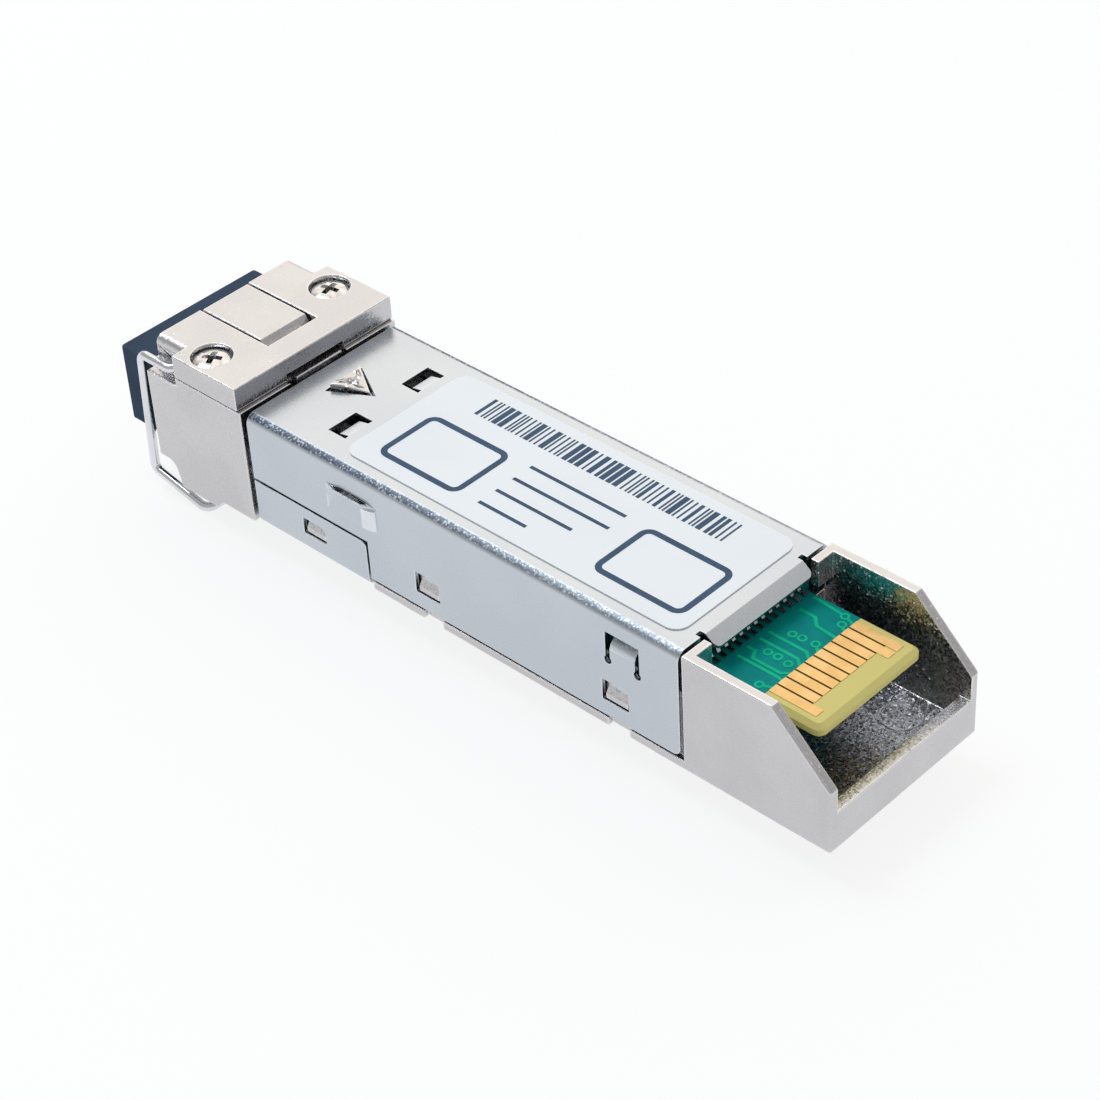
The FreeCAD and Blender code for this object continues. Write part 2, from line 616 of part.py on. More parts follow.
def folded_channel(body, name, start, length, low, high, web_high, bend):
    """Pad a folded channel whose web is at the top, or at the bottom if web_high is false."""
    outer = "body_width/2"
    inner = "(body_width/2 - sheet_thick)"
    web, inside, rim = low, low + " + sheet_thick", high
    if web_high:
        web, inside, rim = high, high + " - sheet_thick", low
    add(body, name, "YZ_Plane", start, length, [[
        (minus(outer), rim),
        (minus(outer), web),
        (outer, web),
        (outer, rim),
        (inner, rim),
        (inner, inside),
        (minus(inner), inside),
        (minus(inner), rim),
    ]])
    outside = edges_along(body, "x", y=[outer, minus(outer)], z=[web])
    round_edges(body, name + "_bends", bend, outside)
    within = edges_along(body, "x", y=[inner, minus(inner)], z=[inside])
    round_edges(body, name + "_inner_bends", bend + " - sheet_thick", within)


def make_cover():
    """Folded cover over the top and sides, with its windows, tongues, bumps and rear flap."""
    cover = new_body("cover_shell")
    rim = "(ledge_height + 1.5*fit_gap)"
    length = COVER_REAR + " - " + COVER_FRONT
    folded_channel(cover, "shell", COVER_FRONT, length, rim, "body_height", True, "bend_radius")
    cut(cover, "clip_space", "XZ_Plane", "-body_width/2", "body_width", [
        rectangle(COVER_FRONT, "clip_rear + clip_slit", rim, "clip_height + clip_slit"),
    ])
    lower = edges_along(cover, "y", x=[COVER_REAR], z=[rim])
    round_edges(cover, "rear_corners", "corner_round", lower)
    cut(cover, "windows", "XZ_Plane", "-body_width/2", "body_width", [
        rectangle(place, place + " + window_width", bottom, "%s + %s" % (bottom, height))
        for place, bottom, height in window_places()[1:]
    ])
    make_side_tongues(cover)
    make_top_tongues(cover)
    cut(cover, "boss_hole", "XY_Plane", "body_height - 2*sheet_thick", "3*sheet_thick", [[
        ("-boss_gap", "-(boss_width/2 + 1.5*boss_gap)"),
        ("boss_length + 2*boss_gap", "0"),
        ("-boss_gap", "boss_width/2 + 1.5*boss_gap"),
    ]])
    make_louvres(cover)
    make_flap(cover)
    return cover


def make_side_tongues(cover):
    """Tongue in a cut-out at the rear of each side, with its upper end turned in."""
    half = "body_width/2"
    inner = half + " - sheet_thick"
    cut(cover, "side_openings", "XZ_Plane", minus(half), "body_width", [
        rectangle(TONGUE_FRONT, TONGUE_FRONT + " + tongue_length", TONGUE_BASE, TONGUE_TOP),
    ])
    tip = TONGUE_TOP + " - 1.5*tongue_slot"
    stations = [
        ("", TONGUE_BASE),
        ("", tip + " - tongue_roll"),
        (" - tongue_bend/4", tip + " - tongue_roll/2"),
        (" - tongue_bend", tip),
    ]
    section = [(half + turn, height) for turn, height in stations]
    section += [(inner + turn, height) for turn, height in reversed(stations)]
    mirrored = [(minus(across), height) for across, height in section]
    span = "tongue_length - 2*tongue_slot"
    add(cover, "side_tongues", "YZ_Plane", TONGUE_FRONT + " + tongue_slot", span, [section, mirrored])
    cut(cover, "slot_bulbs", "XZ_Plane", minus(half), "body_width", circles=[
        (TONGUE_FRONT + place, TONGUE_BASE + " + tongue_bulb/2", "tongue_bulb")
        for place in (" + tongue_slot/2", " + tongue_length - tongue_slot/2")
    ])


def make_top_tongues(cover):
    """Pair of cut-outs in the top with tongues that lean down."""
    rear = "catch_front + catch_length"
    under = "body_height - sheet_thick"
    cut(cover, "top_openings", "XY_Plane", "body_height - 2*sheet_thick", "3*sheet_thick", [
        rectangle("catch_front", rear, near, far)
        for near, far in both_sides("catch_inner", "catch_inner + catch_width")
    ])
    tip = "catch_front + 2*tongue_slot"
    tongue = [
        (rear, under),
        (rear, "body_height"),
        (tip, "body_height - catch_bend"),
        (tip, under + " - catch_bend"),
    ]
    tongue_width = "catch_width - 2*tongue_slot"
    add(cover, "near_top_tongue", "XZ_Plane", "catch_inner + tongue_slot", tongue_width, [tongue])
    far_start = "tongue_slot - catch_inner - catch_width"
    add(cover, "far_top_tongue", "XZ_Plane", far_start, tongue_width, [tongue])


def make_louvres(cover):
    """Lanced bump at the front of each side, open along its upper edge."""
    half = "body_width/2"
    inner = half + " - sheet_thick"
    rear = "louvre_front + louvre_length"
    peak = half + " + louvre_bulge"
    add(cover, "louvres", "XY_Plane", LOUVRE_BASE, "louvre_height", [
        [("louvre_front", side + half), ("louvre_front + louvre_end", side + "(%s)" % peak),
         (rear + " - louvre_end", side + "(%s)" % peak), (rear, side + half)]
        for side in ("", "-")
    ])
    cut(cover, "louvre_slopes", "YZ_Plane", "louvre_front", "louvre_length", [
        [(side + half, LOUVRE_BASE), (side + "(%s)" % peak, LOUVRE_BASE),
         (side + "(%s)" % peak, LOUVRE_TOP + " - louvre_bulge")]
        for side in ("", "-")
    ])
    cut(cover, "louvre_slits", "XY_Plane", LOUVRE_TOP + " - 2*sheet_thick", "2*sheet_thick", [
        [("louvre_front + louvre_end/5", side + "(%s)" % inner),
         ("louvre_front + louvre_end + louvre_lip", side + "(%s - louvre_lip)" % peak),
         (rear + " - louvre_end - louvre_lip", side + "(%s - louvre_lip)" % peak),
         (rear + " - louvre_end/5", side + "(%s)" % inner)]
        for side in ("", "-")
    ])


def make_flap(cover):
    """Flap that slopes down over the board behind the cover, between two notches."""
    under = "body_height - sheet_thick"
    cut(cover, "flap_notches", "XY_Plane", "body_height - 2*sheet_thick", "3*sheet_thick", [
        rectangle(COVER_REAR + " - flap_notch_length", COVER_REAR, near, far)
        for near, far in both_sides(FLAP_HALF, FLAP_HALF + " + flap_notch")
    ])
    lean = "sheet_thick*flap_drop/flap_run/2"
    flap_rear = COVER_REAR + " + flap_run"
    add(cover, "flap", "XZ_Plane", minus(FLAP_HALF), "2*" + FLAP_HALF, [[
        (COVER_REAR, under),
        (COVER_REAR, "body_height"),
        (flap_rear, "body_height - flap_drop"),
        (flap_rear + " - " + lean, under + " - flap_drop"),
    ]])
    corners = []
    for side in (FLAP_HALF, minus(FLAP_HALF)):
        corners += edges_within(cover, x=(COVER_REAR + " + flap_run/2", flap_rear), y=(side, side))
    round_edges(cover, "flap_corners", "flap_round", corners)


def make_clip():
    """Folded clip across the underside, just behind the nose."""
    clip = new_body("grounding_clip")
    length = "clip_rear - " + COVER_FRONT
    folded_channel(clip, "strap", COVER_FRONT, length, "0", "clip_height", False, "0.8*bend_radius")
    rear_corners = edges_along(clip, "y", x=["clip_rear"], z=["clip_height"])
    round_edges(clip, "strap_corners", "window_round", rear_corners)
    window_rear = "clip_window_front + window_width"
    window_top = "clip_window_bottom + clip_window_height"
    cut(clip, "peg_window", "XZ_Plane", "-body_width/2", "body_width", [
        rectangle("clip_window_front", window_rear, "clip_window_bottom", window_top),
    ])
    corner = edges_along(clip, "y", x=[window_rear], z=[window_top])
    round_edges(clip, "window_corners", "window_round", corner)
    return clip


def make_plate():
    """Cast plate that holds the bail and the rocker down on the nose."""
    plate = new_body("latch_plate")
    slot = "slot_width/2"
    add(plate, "slab", "XY_Plane", "body_height", "plate_thick", [[
        (PLATE_REAR, minus(NOSE_HALF)),
        (PLATE_REAR, NOSE_HALF),
        (STEP_PLACE, NOSE_HALF),
        (STEP_PLACE, NECK_HALF),
        (PLATE_FRONT, NECK_HALF),
        (PLATE_FRONT, slot),
        (SLOT_REAR, slot),
        (SLOT_REAR, minus(slot)),
        (PLATE_FRONT, minus(slot)),
        (PLATE_FRONT, minus(NECK_HALF)),
        (STEP_PLACE, minus(NECK_HALF)),
        (STEP_PLACE, minus(NOSE_HALF)),
    ]])
    shoulders = edges_along(plate, "x", y=[NECK_HALF, minus(NECK_HALF)], z=[PLATE_TOP])
    round_edges(plate, "neck_rounds", "neck_round", shoulders)
    rim = edges_along(plate, "x", y=[NOSE_HALF, minus(NOSE_HALF)], z=[PLATE_TOP])
    rim += edges_along(plate, "y", x=[PLATE_REAR], z=[PLATE_TOP])
    round_edges(plate, "rim_rounds", "cast_round/2", rim)
    foot = edges_along(plate, "x", y=[NOSE_HALF, minus(NOSE_HALF)], z=["body_height"])
    foot += edges_along(plate, "y", x=[PLATE_REAR], z=["body_height"])
    bevel_edges(plate, "foot_bevels", "cast_round/2", foot)

    screw_sides = (SCREW_SIDE, minus(SCREW_SIDE))
    cut(plate, "head_recesses", "XY_Plane", PLATE_TOP + " - recess_depth", "recess_depth", circles=[
        (SCREW_PLACE, place, "recess_diameter/2") for place in screw_sides
    ])
    cut(plate, "screw_holes", "XY_Plane", "body_height", "plate_thick", circles=[
        (SCREW_PLACE, place, "shank_diameter/2 + fit_gap") for place in screw_sides
    ])
    cut(plate, "arm_relief", "XY_Plane", "body_height", "arm_rise + rocker_gap", [
        rectangle(SLOT_REAR, PLATE_REAR, minus(CHANNEL_HALF), CHANNEL_HALF),
    ])
    cut(plate, "bail_groove", "XY_Plane", "body_height", "pivot_rise + " + GROOVE_HALF, [
        rectangle(PIVOT_PLACE + " - " + GROOVE_HALF, PIVOT_PLACE + " + " + GROOVE_HALF, near, far)
        for near, far in both_sides(slot, NECK_HALF)
    ])
    return plate


def make_lever():
    """Cast rocker: pad in the plate's slot, arm under the plate, trunnions and the latch boss."""
    lever = new_body("latch_lever")
    pad_front = PLATE_FRONT + " + fit_gap"
    pad_base = PLATE_TOP + " - pad_thick"
    pad_rear = SLOT_REAR + " - pad_slack"
    under_plate = "body_height + arm_rise"
    neck = SLOT_REAR + " - pad_gap"
    add(lever, "rocker", "XZ_Plane", minus(PAD_HALF), "2*" + PAD_HALF, [[
        (pad_front, PLATE_TOP),
        (pad_rear, PLATE_TOP),
        (pad_rear + " + pad_slope", pad_base),
        (neck, under_plate),
        (ELBOW_PLACE, under_plate),
        (ELBOW_PLACE, ARM_BASE),
        (PORT_REAR + " + 3*rocker_gap", ARM_BASE),
        (neck, "body_height - pad_gap"),
        (pad_rear + " - pad_gap", pad_base),
        (pad_front, pad_base),
    ]])
    add(lever, "arm", "XZ_Plane", "-arm_half", "2*arm_half", [
        rectangle(ELBOW_PLACE, "arm_rear", ARM_BASE, ARM_TOP),
    ])
    add(lever, "trunnions", "XZ_Plane", "-trunnion_reach", "2*trunnion_reach", circles=[
        (FULCRUM_PLACE, FULCRUM_HEIGHT, "trunnion_radius"),
    ])
    boss_rise = "boss_height + body_height - " + ARM_TOP
    add(lever, "boss", "XY_Plane", ARM_TOP, boss_rise, [[
        ("0", "-boss_width/2"),
        ("boss_length", "0"),
        ("0", "boss_width/2"),
    ]])
    boss_top = "body_height + boss_height"
    cut(lever, "boss_ramp", "XZ_Plane", "-boss_width", "2*boss_width", [[
        ("boss_length/4", boss_top),
        ("boss_length + boss_gap", boss_top),
        ("boss_length + boss_gap", "body_height"),
    ]])
    rim = edges_along(lever, "x", y=[PAD_HALF, minus(PAD_HALF)], z=[PLATE_TOP])
    round_edges(lever, "pad_rounds", "cast_round/2", rim)
    return lever


def make_leaf_spring():
    """Leaf spring under the rocker's arm, drawn pressed down."""
    spring = new_body("lever_spring")
    seat = ARM_BASE + " - rocker_gap"
    front = PORT_REAR + " + 1.2*rocker_gap"
    bend = "-stop_reach"
    tip = "arm_rear - 2*rocker_gap"
    add(spring, "leaf", "XZ_Plane", "-leaf_width/2", "leaf_width", [[
        (front, seat),
        (bend, seat),
        (tip, seat + " - leaf_drop"),
        (tip, seat + " - leaf_drop + leaf_thick"),
        (bend, seat + " + leaf_thick"),
        (front, seat + " + leaf_thick"),
    ]])
    return spring


def make_screws():
    """Two cross-recess screws that hold the plate."""
    solids = []
    seat = value(PLATE_TOP + " - recess_depth")
    head_top = seat + value("head_height")
    half_cross = value("cross_length/2")
    half_slot = value("cross_width/2")
    recess_floor = head_top - value("cross_depth")
    shank_foot = FreeCAD.Vector(0, 0, seat - value("shank_length"))
    for side in (-1, 1):
        head = Part.makeCylinder(value("head_diameter/2"), value("head_height"), FreeCAD.Vector(0, 0, seat))
        rim = [edge for edge in head.Edges if abs(edge.BoundBox.ZMin - head_top) < 1e-6]
        head = head.makeChamfer(value("head_bevel"), rim)
        screw = head.fuse(Part.makeCylinder(value("shank_diameter/2"), value("shank_length"), shank_foot))
        for length, width in ((half_cross, half_slot), (half_slot, half_cross)):
            corner = FreeCAD.Vector(-length, -width, recess_floor)
            screw = screw.cut(Part.makeBox(2 * length, 2 * width, value("cross_depth"), corner))
        screw.translate(FreeCAD.Vector(value(SCREW_PLACE), side * value(SCREW_SIDE), 0))
        solids.append(screw)
    screws = doc.addObject("Part::Feature", "plate_screws")
    screws.Label = "plate_screws"
    screws.Shape = Part.makeCompound(solids)
    return screws


def bent_path(points, bends):
    """Return a wire of straight runs joined by bends at its inner points.

    Each bend is a radius and a number of short straight runs along its arc.
    """
    edges = []
    start = points[0]
    for before, corner, after, (radius, runs) in zip(points, points[1:], points[2:], bends):
        inward = (before - corner).normalize()
        onward = (after - corner).normalize()
        half_angle = inward.getAngle(onward) / 2
        setback = radius / math.tan(half_angle)
        first = corner + inward * setback
        last = corner + onward * setback
        middle_way = (inward + onward).normalize()
        centre = corner + middle_way * (radius / math.sin(half_angle))
        arc = Part.Arc(first, centre - middle_way * radius, last).toShape()
        edges.append(Part.LineSegment(start, first).toShape())
        stations = arc.discretize(runs + 1)
        edges += [Part.LineSegment(here, there).toShape() for here, there in zip(stations, stations[1:])]
        start = last
    edges.append(Part.LineSegment(start, points[-1]).toShape())
    return Part.Wire(edges)


def make_bail():
    """Bail: one wire from the crank under the rocker, round both legs and the cross bar, and back."""
    pivot = value(PIVOT_PLACE)
    height = value(PIVOT_HEIGHT)
    crank = value(PIVOT_PLACE + " - crank_offset")
    leg = value(LEG_SIDE)
    upper = value("-nose_front - leg_clear")
    lower = value("-nose_front - leg_clear - leg_lean")
    inner = value("crank_half")
    outer = value("crank_half + crank_run")
    near_half = [
        FreeCAD.Vector(crank, value("butt_gap/2"), height),
        FreeCAD.Vector(crank, inner, height),
        FreeCAD.Vector(pivot, outer, height),
        FreeCAD.Vector(pivot, leg, height),
        FreeCAD.Vector(upper, leg, height),
        FreeCAD.Vector(lower, leg, value("-leg_foot")),
        FreeCAD.Vector(value(PIVOT_PLACE + " + bar_behind"), leg, value("-bar_drop")),
    ]
    far_half = [FreeCAD.Vector(point.x, -point.y, point.z) for point in reversed(near_half)]
    bends = [(value("crank_bend"), CRANK_RUNS)] * 2 + [(value("wire_bend"), BEND_RUNS)] * 4
    path = bent_path(near_half + far_half, bends + bends[::-1])
    section = Part.makeCircle(value(WIRE_RADIUS), near_half[0], FreeCAD.Vector(0, -1, 0))
    mitred = 1
    bail = doc.addObject("Part::Feature", "bail_wire")
    bail.Label = "bail_wire"
    bail.Shape = path.makePipeShell([Part.Wire([section])], True, False, mitred)
    return bail


def make_plug():
    """Dust plug: a block in front of the nose with a hollow stem in the port."""
    plug = new_body("dust_plug")
    head_rear = "(-nose_front - fit_gap)"
    half = LEG_SIDE + " - " + WIRE_RADIUS + " - plug_side_gap"
    add(plug, "head", "YZ_Plane", PLUG_FRONT, head_rear + " - " + PLUG_FRONT, [
        rectangle(minus(half), half, PORT_AXIS + " - plug_fall", PORT_AXIS + " + plug_rise"),
    ])
    rims = edges_along(plug, "z", x=[PLUG_FRONT])
    round_edges(plug, "head_rounds", "plug_round", rims)
    stem = "(port_width/2 - plug_clear)"
    add(plug, "stem", "YZ_Plane", head_rear, PORT_DEPTH + " + fit_gap - plug_end", [
        rectangle(minus(stem), stem, PORT_AXIS + " - " + stem, PORT_AXIS + " + " + stem),
    ])
    cut(plug, "stem_bore", "YZ_Plane", "2*fit_gap - nose_front", PORT_DEPTH, circles=[
        ("0", PORT_AXIS, "barrel_diameter/2 + plug_bore_gap"),
    ])
    return plug


def make_label():
    """Label on the cover, with rounded corners."""
    label = new_body("label")
    half = "body_width/2 - label_margin"
    rear = COVER_REAR + " - label_rear_margin"
    add(label, "sticker", "XY_Plane", "body_height", "label_thick", [
        rectangle("label_front", rear, minus(half), half),
    ])
    corners = edges_along(label, "z", x=["label_front", rear])
    round_edges(label, "sticker_corners", "label_round", corners)
    return label


def make_board():
    """Circuit board with its narrower, bevelled card edge."""
    board = new_body("circuit_board")
    card = "card_width/2"
    step = COVER_REAR + " - board_step_inset"
    add(board, "laminate", "XY_Plane", BOARD_BASE, "board_thick", [[
        (BOARD_FRONT, minus(BOARD_HALF)),
        (step, minus(BOARD_HALF)),
        (step, minus(card)),
        (BOARD_REAR, minus(card)),
        (BOARD_REAR, card),
        (step, card),
        (step, BOARD_HALF),
        (BOARD_FRONT, BOARD_HALF),
    ]])
    corners = edges_along(board, "z", x=[BOARD_REAR], y=[card, minus(card)])
    round_edges(board, "card_corners", "card_round", corners)
    lips = edges_along(board, "y", x=[BOARD_REAR])
    bevel_edges(board, "card_bevels", "card_bevel", lips)
    return board


def make_contacts(label, low, high):
    """Row of gold contacts on one face of the card edge."""
    members = []
    for index in range(CONTACTS):
        middle = "contact_pitch*%g" % (index - (CONTACTS - 1) / 2)
        length = "contact_long" if index in LONG_CONTACTS else "contact_short"
        members.append(block(
            "%s_%d" % (label, index + 1), CONTACT_FRONT, CONTACT_FRONT + " + " + length,
            middle + " - contact_width/2", middle + " + contact_width/2", low, high,
        ))
    return group(label, members)


def make_joints():
    """Leads of the controller chip, soldered to the board along both of its sides."""
    reach = value("lead_reach")
    heel = value("lead_reach - lead_foot")
    thick = value("lead_thick")
    middle = value("chip_height/2")
    section = [
        (0, middle + thick), (heel - 2 * thick, middle + thick), (heel, thick), (reach, thick),
        (reach, 0), (heel - thick/2, 0), (heel - 2.5 * thick, middle), (0, middle),
    ]
    across = FreeCAD.Vector(0, value("lead_width"), 0)
    solids = []
    for side in (-1, 1):
        edge = value(CONTROLLER_PLACE) + side * value("controller_length/2")
        corners = [
            FreeCAD.Vector(edge + side * out, -across.y / 2, value(BOARD_TOP) + height)
            for out, height in section
        ]
        lead = Part.Face(Part.makePolygon(corners + corners[:1])).extrude(across)
        for index in range(LEADS_IN_ROW):
            place = value("lead_pitch") * (index - (LEADS_IN_ROW - 1) / 2)
            solids.append(lead.translated(FreeCAD.Vector(0, place, 0)))
    leads = doc.addObject("Part::Feature", "solder_joints")
    leads.Label = "solder_joints"
    leads.Shape = Part.makeCompound(solids)
    return leads


def make_chip(label, place, length, width, low, height):
    """Flat block over the board, such as a chip or the pad on top of it."""
    chip = new_body(label)
    add(chip, label + "_block", "XY_Plane", low, height, [
        rectangle(
            "%s - %s/2" % (place, length), "%s + %s/2" % (place, length), "-%s/2" % width, "%s/2" % width,
        ),
    ])
    return chip


def make_chip_parts(label, start, height):
    """Row of small chip parts beside the chips, on both sides of the board."""
    members = []
    for side in ("", "-"):
        for index in range(CHIP_PARTS):
            front = "%s + chip_part_pitch*%d" % (start, index)
            middle = side + "(%s - 1.5*chip_part_length)" % BOARD_HALF
            members.append(block(
                "%s_%s_%d" % (label, "near" if side else "far", index + 1),
                front, front + " + chip_part_width",
                middle + " - chip_part_length/2", middle + " + chip_part_length/2",
                BOARD_TOP, "%s + %s" % (BOARD_TOP, height),
            ))
    return group(label, members)


def make_barrel():
    """Receptacle barrel with its flange behind the nose and a bore for the sleeve."""
    barrel = new_body("receptacle_barrel")
    middle = ("0", PORT_AXIS)
    add(barrel, "tube", "YZ_Plane", BARREL_FRONT, "block_front - " + BARREL_FRONT, circles=[
        middle + ("barrel_diameter/2",),
    ])
    add(barrel, "flange", "YZ_Plane", "fit_gap - stop_reach", "flange_thick", circles=[
        middle + ("flange_diameter/2",),
    ])
    cut(barrel, "sleeve_bore", "YZ_Plane", BARREL_FRONT, "sleeve_length + fit_gap", circles=[
        middle + ("sleeve_diameter/2 + fit_gap/4",),
    ])
    return barrel


def make_sleeve():
    """Ceramic sleeve that lines up the fibre."""
    sleeve = new_body("ferrule_sleeve")
    front = BARREL_FRONT + " + fit_gap"
    add(sleeve, "ceramic", "YZ_Plane", front, "sleeve_length", circles=[
        ("0", PORT_AXIS, "sleeve_diameter/2"),
    ])
    cut(sleeve, "fibre_hole", "YZ_Plane", front, "sleeve_length", circles=[
        ("0", PORT_AXIS, "fibre_bore/2"),
    ])
    return sleeve


def make_optical_block():
    """Block that splits the light between the laser and the detector."""
    optics = new_body("optical_block")
    half = "block_side/2"
    add(optics, "splitter", "YZ_Plane", "block_front", "block_length", [
        rectangle(minus(half), half, PORT_AXIS + " - " + half, PORT_AXIS + " + " + half),
    ])
    rims = edges_along(optics, "x")
    bevel_edges(optics, "splitter_bevels", "block_side/10", rims)
    return optics


def make_can(label, plane, start, length, middle):
    """Round can of the laser or the detector."""
    can = new_body(label)
    add(can, label + "_shell", plane, start, length, circles=[middle + ("can_diameter/2",)])
    return can


def make_laser_flex():
    """Flex strip from the laser can down on to the front of the board."""
    flex = new_body("laser_flex")
    behind = LASER_REAR + " + flex_thick"
    top = BOARD_TOP + " + flex_thick"
    low = PORT_AXIS + " - can_diameter/2"
    lap_end = BOARD_FRONT + " + flex_lap"
    add(flex, "strip", "XZ_Plane", "-flex_width/2", "flex_width", [[
        (LASER_REAR, low),
        (LASER_REAR, top),
        (lap_end, top),
        (lap_end, BOARD_TOP),
        (behind, BOARD_TOP),
        (behind, low),
    ]])
    return flex


def make_detector_flex():
    """Flex strip from the detector can, along the side, to the front of the board."""
    flex = new_body("detector_flex")
    bend = BOARD_FRONT + " - fit_gap"
    add(flex, "side_strip", "XZ_Plane", DETECTOR_FACE, "flex_thick", [
        rectangle("block_front + block_length/2 - flex_width/2", bend,
                  PORT_AXIS + " - flex_width/2", BOARD_TOP + " + flex_thick"),
    ])
    add(flex, "board_strip", "XY_Plane", BOARD_TOP, "flex_thick", [
        rectangle(bend + " - flex_thick", BOARD_FRONT + " + flex_lap",
                  "-(%s + flex_thick)" % DETECTOR_FACE, "flex_lap - " + DETECTOR_FACE),
    ])
    return flex


pieces = [
    make_base(),
    make_cover(),
    make_clip(),
    make_plate(),
    make_screws(),
    make_lever(),
    make_leaf_spring(),
    make_bail(),
    make_plug(),
    make_label(),
    make_board(),
    make_contacts("contact_pads_upper", BOARD_TOP, BOARD_TOP + " + contact_thick"),
    make_contacts("contact_pads_lower", BOARD_BASE + " - contact_thick", BOARD_BASE),
    make_joints(),
    make_chip("driver_chip", DRIVER_PLACE, "driver_side", "driver_side", BOARD_TOP, "chip_height"),
    make_chip("thermal_pad", DRIVER_PLACE, "driver_side", "driver_side", BOARD_TOP + " + chip_height",
              "board_depth - chip_height - sheet_thick"),
    make_chip("controller_chip", CONTROLLER_PLACE, "controller_length", "controller_width", BOARD_TOP,
              "chip_height"),
    make_chip_parts("chip_capacitors", DRIVER_PLACE + " - driver_side", "chip_part_height"),
    make_chip_parts("chip_resistors", DRIVER_PLACE + " + driver_side/2", "resistor_height"),
    make_barrel(),
    make_sleeve(),
    make_optical_block(),
    make_can("laser_can", "YZ_Plane", "block_front + block_length", "laser_length", ("0", PORT_AXIS)),
    make_can("detector_can", "XZ_Plane", "block_side/2", DETECTOR_FACE + " - block_side/2",
             ("block_front + block_length/2", PORT_AXIS)),
    make_laser_flex(),
    make_detector_flex(),
]

# The whole module is moved so that the middle of its underside is at the origin.
SHIFT_ALONG = "(nose_front + plug_head - rear_reach)/2"
SHIFT_UP = "bar_drop + wire_diameter/2"
for piece in pieces:
    piece.setExpression("Placement.Base.x", bound(SHIFT_ALONG))
    piece.setExpression("Placement.Base.z", bound(SHIFT_UP))
doc.recompute()

for item in doc.Objects:
    if "Invalid" in item.State or "Error" in item.State:
        raise RuntimeError("%s failed: %s" % (item.Name, item.State))
for piece in pieces:
    if piece.Shape.isNull() or not piece.Shape.isValid():
        raise RuntimeError("%s has no valid shape" % piece.Label)

os.makedirs("parts", exist_ok=True)
for piece in pieces:
    piece.Shape.exportStep(os.path.join("parts", piece.Label + ".step"))
    print("%-20s %3d solids %9.3f mm3" % (piece.Label, len(piece.Shape.Solids), piece.Shape.Volume))
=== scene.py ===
import json
import logging
import math
import random
from dataclasses import dataclass, field
from enum import Enum
from typing import Iterable, Sequence

import bmesh
import bpy
from mathutils import Matrix, Vector
from mathutils.bvhtree import BVHTree


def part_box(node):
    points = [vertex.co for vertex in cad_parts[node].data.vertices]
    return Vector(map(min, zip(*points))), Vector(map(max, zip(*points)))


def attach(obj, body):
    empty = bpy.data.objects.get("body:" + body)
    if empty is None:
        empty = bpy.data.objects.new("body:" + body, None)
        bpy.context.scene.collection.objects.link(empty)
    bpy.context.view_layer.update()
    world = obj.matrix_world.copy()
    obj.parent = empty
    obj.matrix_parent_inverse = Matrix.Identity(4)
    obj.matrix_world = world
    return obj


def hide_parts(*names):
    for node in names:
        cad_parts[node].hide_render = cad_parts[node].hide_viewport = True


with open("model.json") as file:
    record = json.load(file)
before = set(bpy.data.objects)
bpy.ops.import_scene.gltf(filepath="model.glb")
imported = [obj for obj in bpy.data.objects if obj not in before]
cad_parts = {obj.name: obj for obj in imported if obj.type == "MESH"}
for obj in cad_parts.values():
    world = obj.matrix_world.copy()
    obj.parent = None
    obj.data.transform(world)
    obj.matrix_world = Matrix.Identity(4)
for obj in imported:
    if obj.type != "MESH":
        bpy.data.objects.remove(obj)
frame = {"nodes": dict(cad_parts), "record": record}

# The look of a pluggable optical transceiver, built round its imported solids.
# Sizes of pieces and finishes are in millimetres; meshes are scaled to metres when they are placed.

LOG = logging.getLogger("transceiver")
MM = 0.001
WELD_DISTANCE = 1e-4
FLAT_ANGLE = math.radians(1.0)
SHARP_ANGLE = math.radians(28.0)
# Share of a round's width that its points may stand off the solid.
STAND_OFF = 0.6
# Least cosine at a bend of a flat strip, which limits its mitre.
MITRE_LIMIT = 0.3
# Shape of a round: a quarter circle.
ROUND_PROFILE = 0.5
# Fourth coordinate of a pattern, which a pattern in space leaves unused.
FOURTH = 0.0
# Places of the latch shoulder and of the base's underside in the frame.
SHOULDER = -14.775
UNDERSIDE = 2.175

BMesh = bmesh.types.BMesh
Socket = bpy.types.NodeSocket
Sockets = bpy.types.bpy_prop_collection
Tree = bpy.types.NodeTree
Point = tuple[float, float]
Triple = tuple[float, float, float]
Colour = tuple[float, float, float, float]
Source = Socket | float | Vector | Triple | Colour


class Body(Enum):
    """Moving bodies of the frame."""

    MODULE = "module"
    BAIL = "bail"
    ROCKER = "rocker"
    PLUG = "plug"


class Effect(Enum):
    """Surface effects that several finishes share."""

    GRAIN = "surface_grain"
    TONE = "slow_tone"
    SPECKS = "scattered_specks"
    # Lighter rubbed edges, which also paint the edges' highlight.
    WEAR_AND_HIGHLIGHT = "edge_wear_and_highlight"
    # Rougher bends of the sheet, whose colour also paints a dark reflection where the bend faces up and
    # sideways.
    BEND = "bend_rough_and_painted_shade"
    INSIDE = "rough_inside"


def tint(code: str) -> Colour:
    """Return the linear colour of a web colour code.

    Args:
        code: Colour as a hash sign and six hexadecimal digits.

    Returns:
        Red, green, blue and alpha.
    """
    channels = [int(code[index:index + 2], 16) / 255 for index in (1, 3, 5)]
    red, green, blue = (
        channel / 12.92 if channel <= 0.04045 else ((channel + 0.055) / 1.055) ** 2.4 for channel in channels
    )
    return red, green, blue, 1.0


def node_box(node: str) -> tuple[Vector, Vector]:
    """Return the lowest and highest corner of a solid, in millimetres."""
    low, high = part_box(node)
    return low / MM, high / MM


def linked(name: str, data: bpy.types.ID) -> bpy.types.Object:
    """Put a mesh, lamp or camera into the scene.

    Args:
        name: Name of the object.
        data: Its mesh, lamp or camera.

    Returns:
        The object.
    """
    made = bpy.data.objects.new(name, data)
    bpy.context.scene.collection.objects.link(made)
    return made


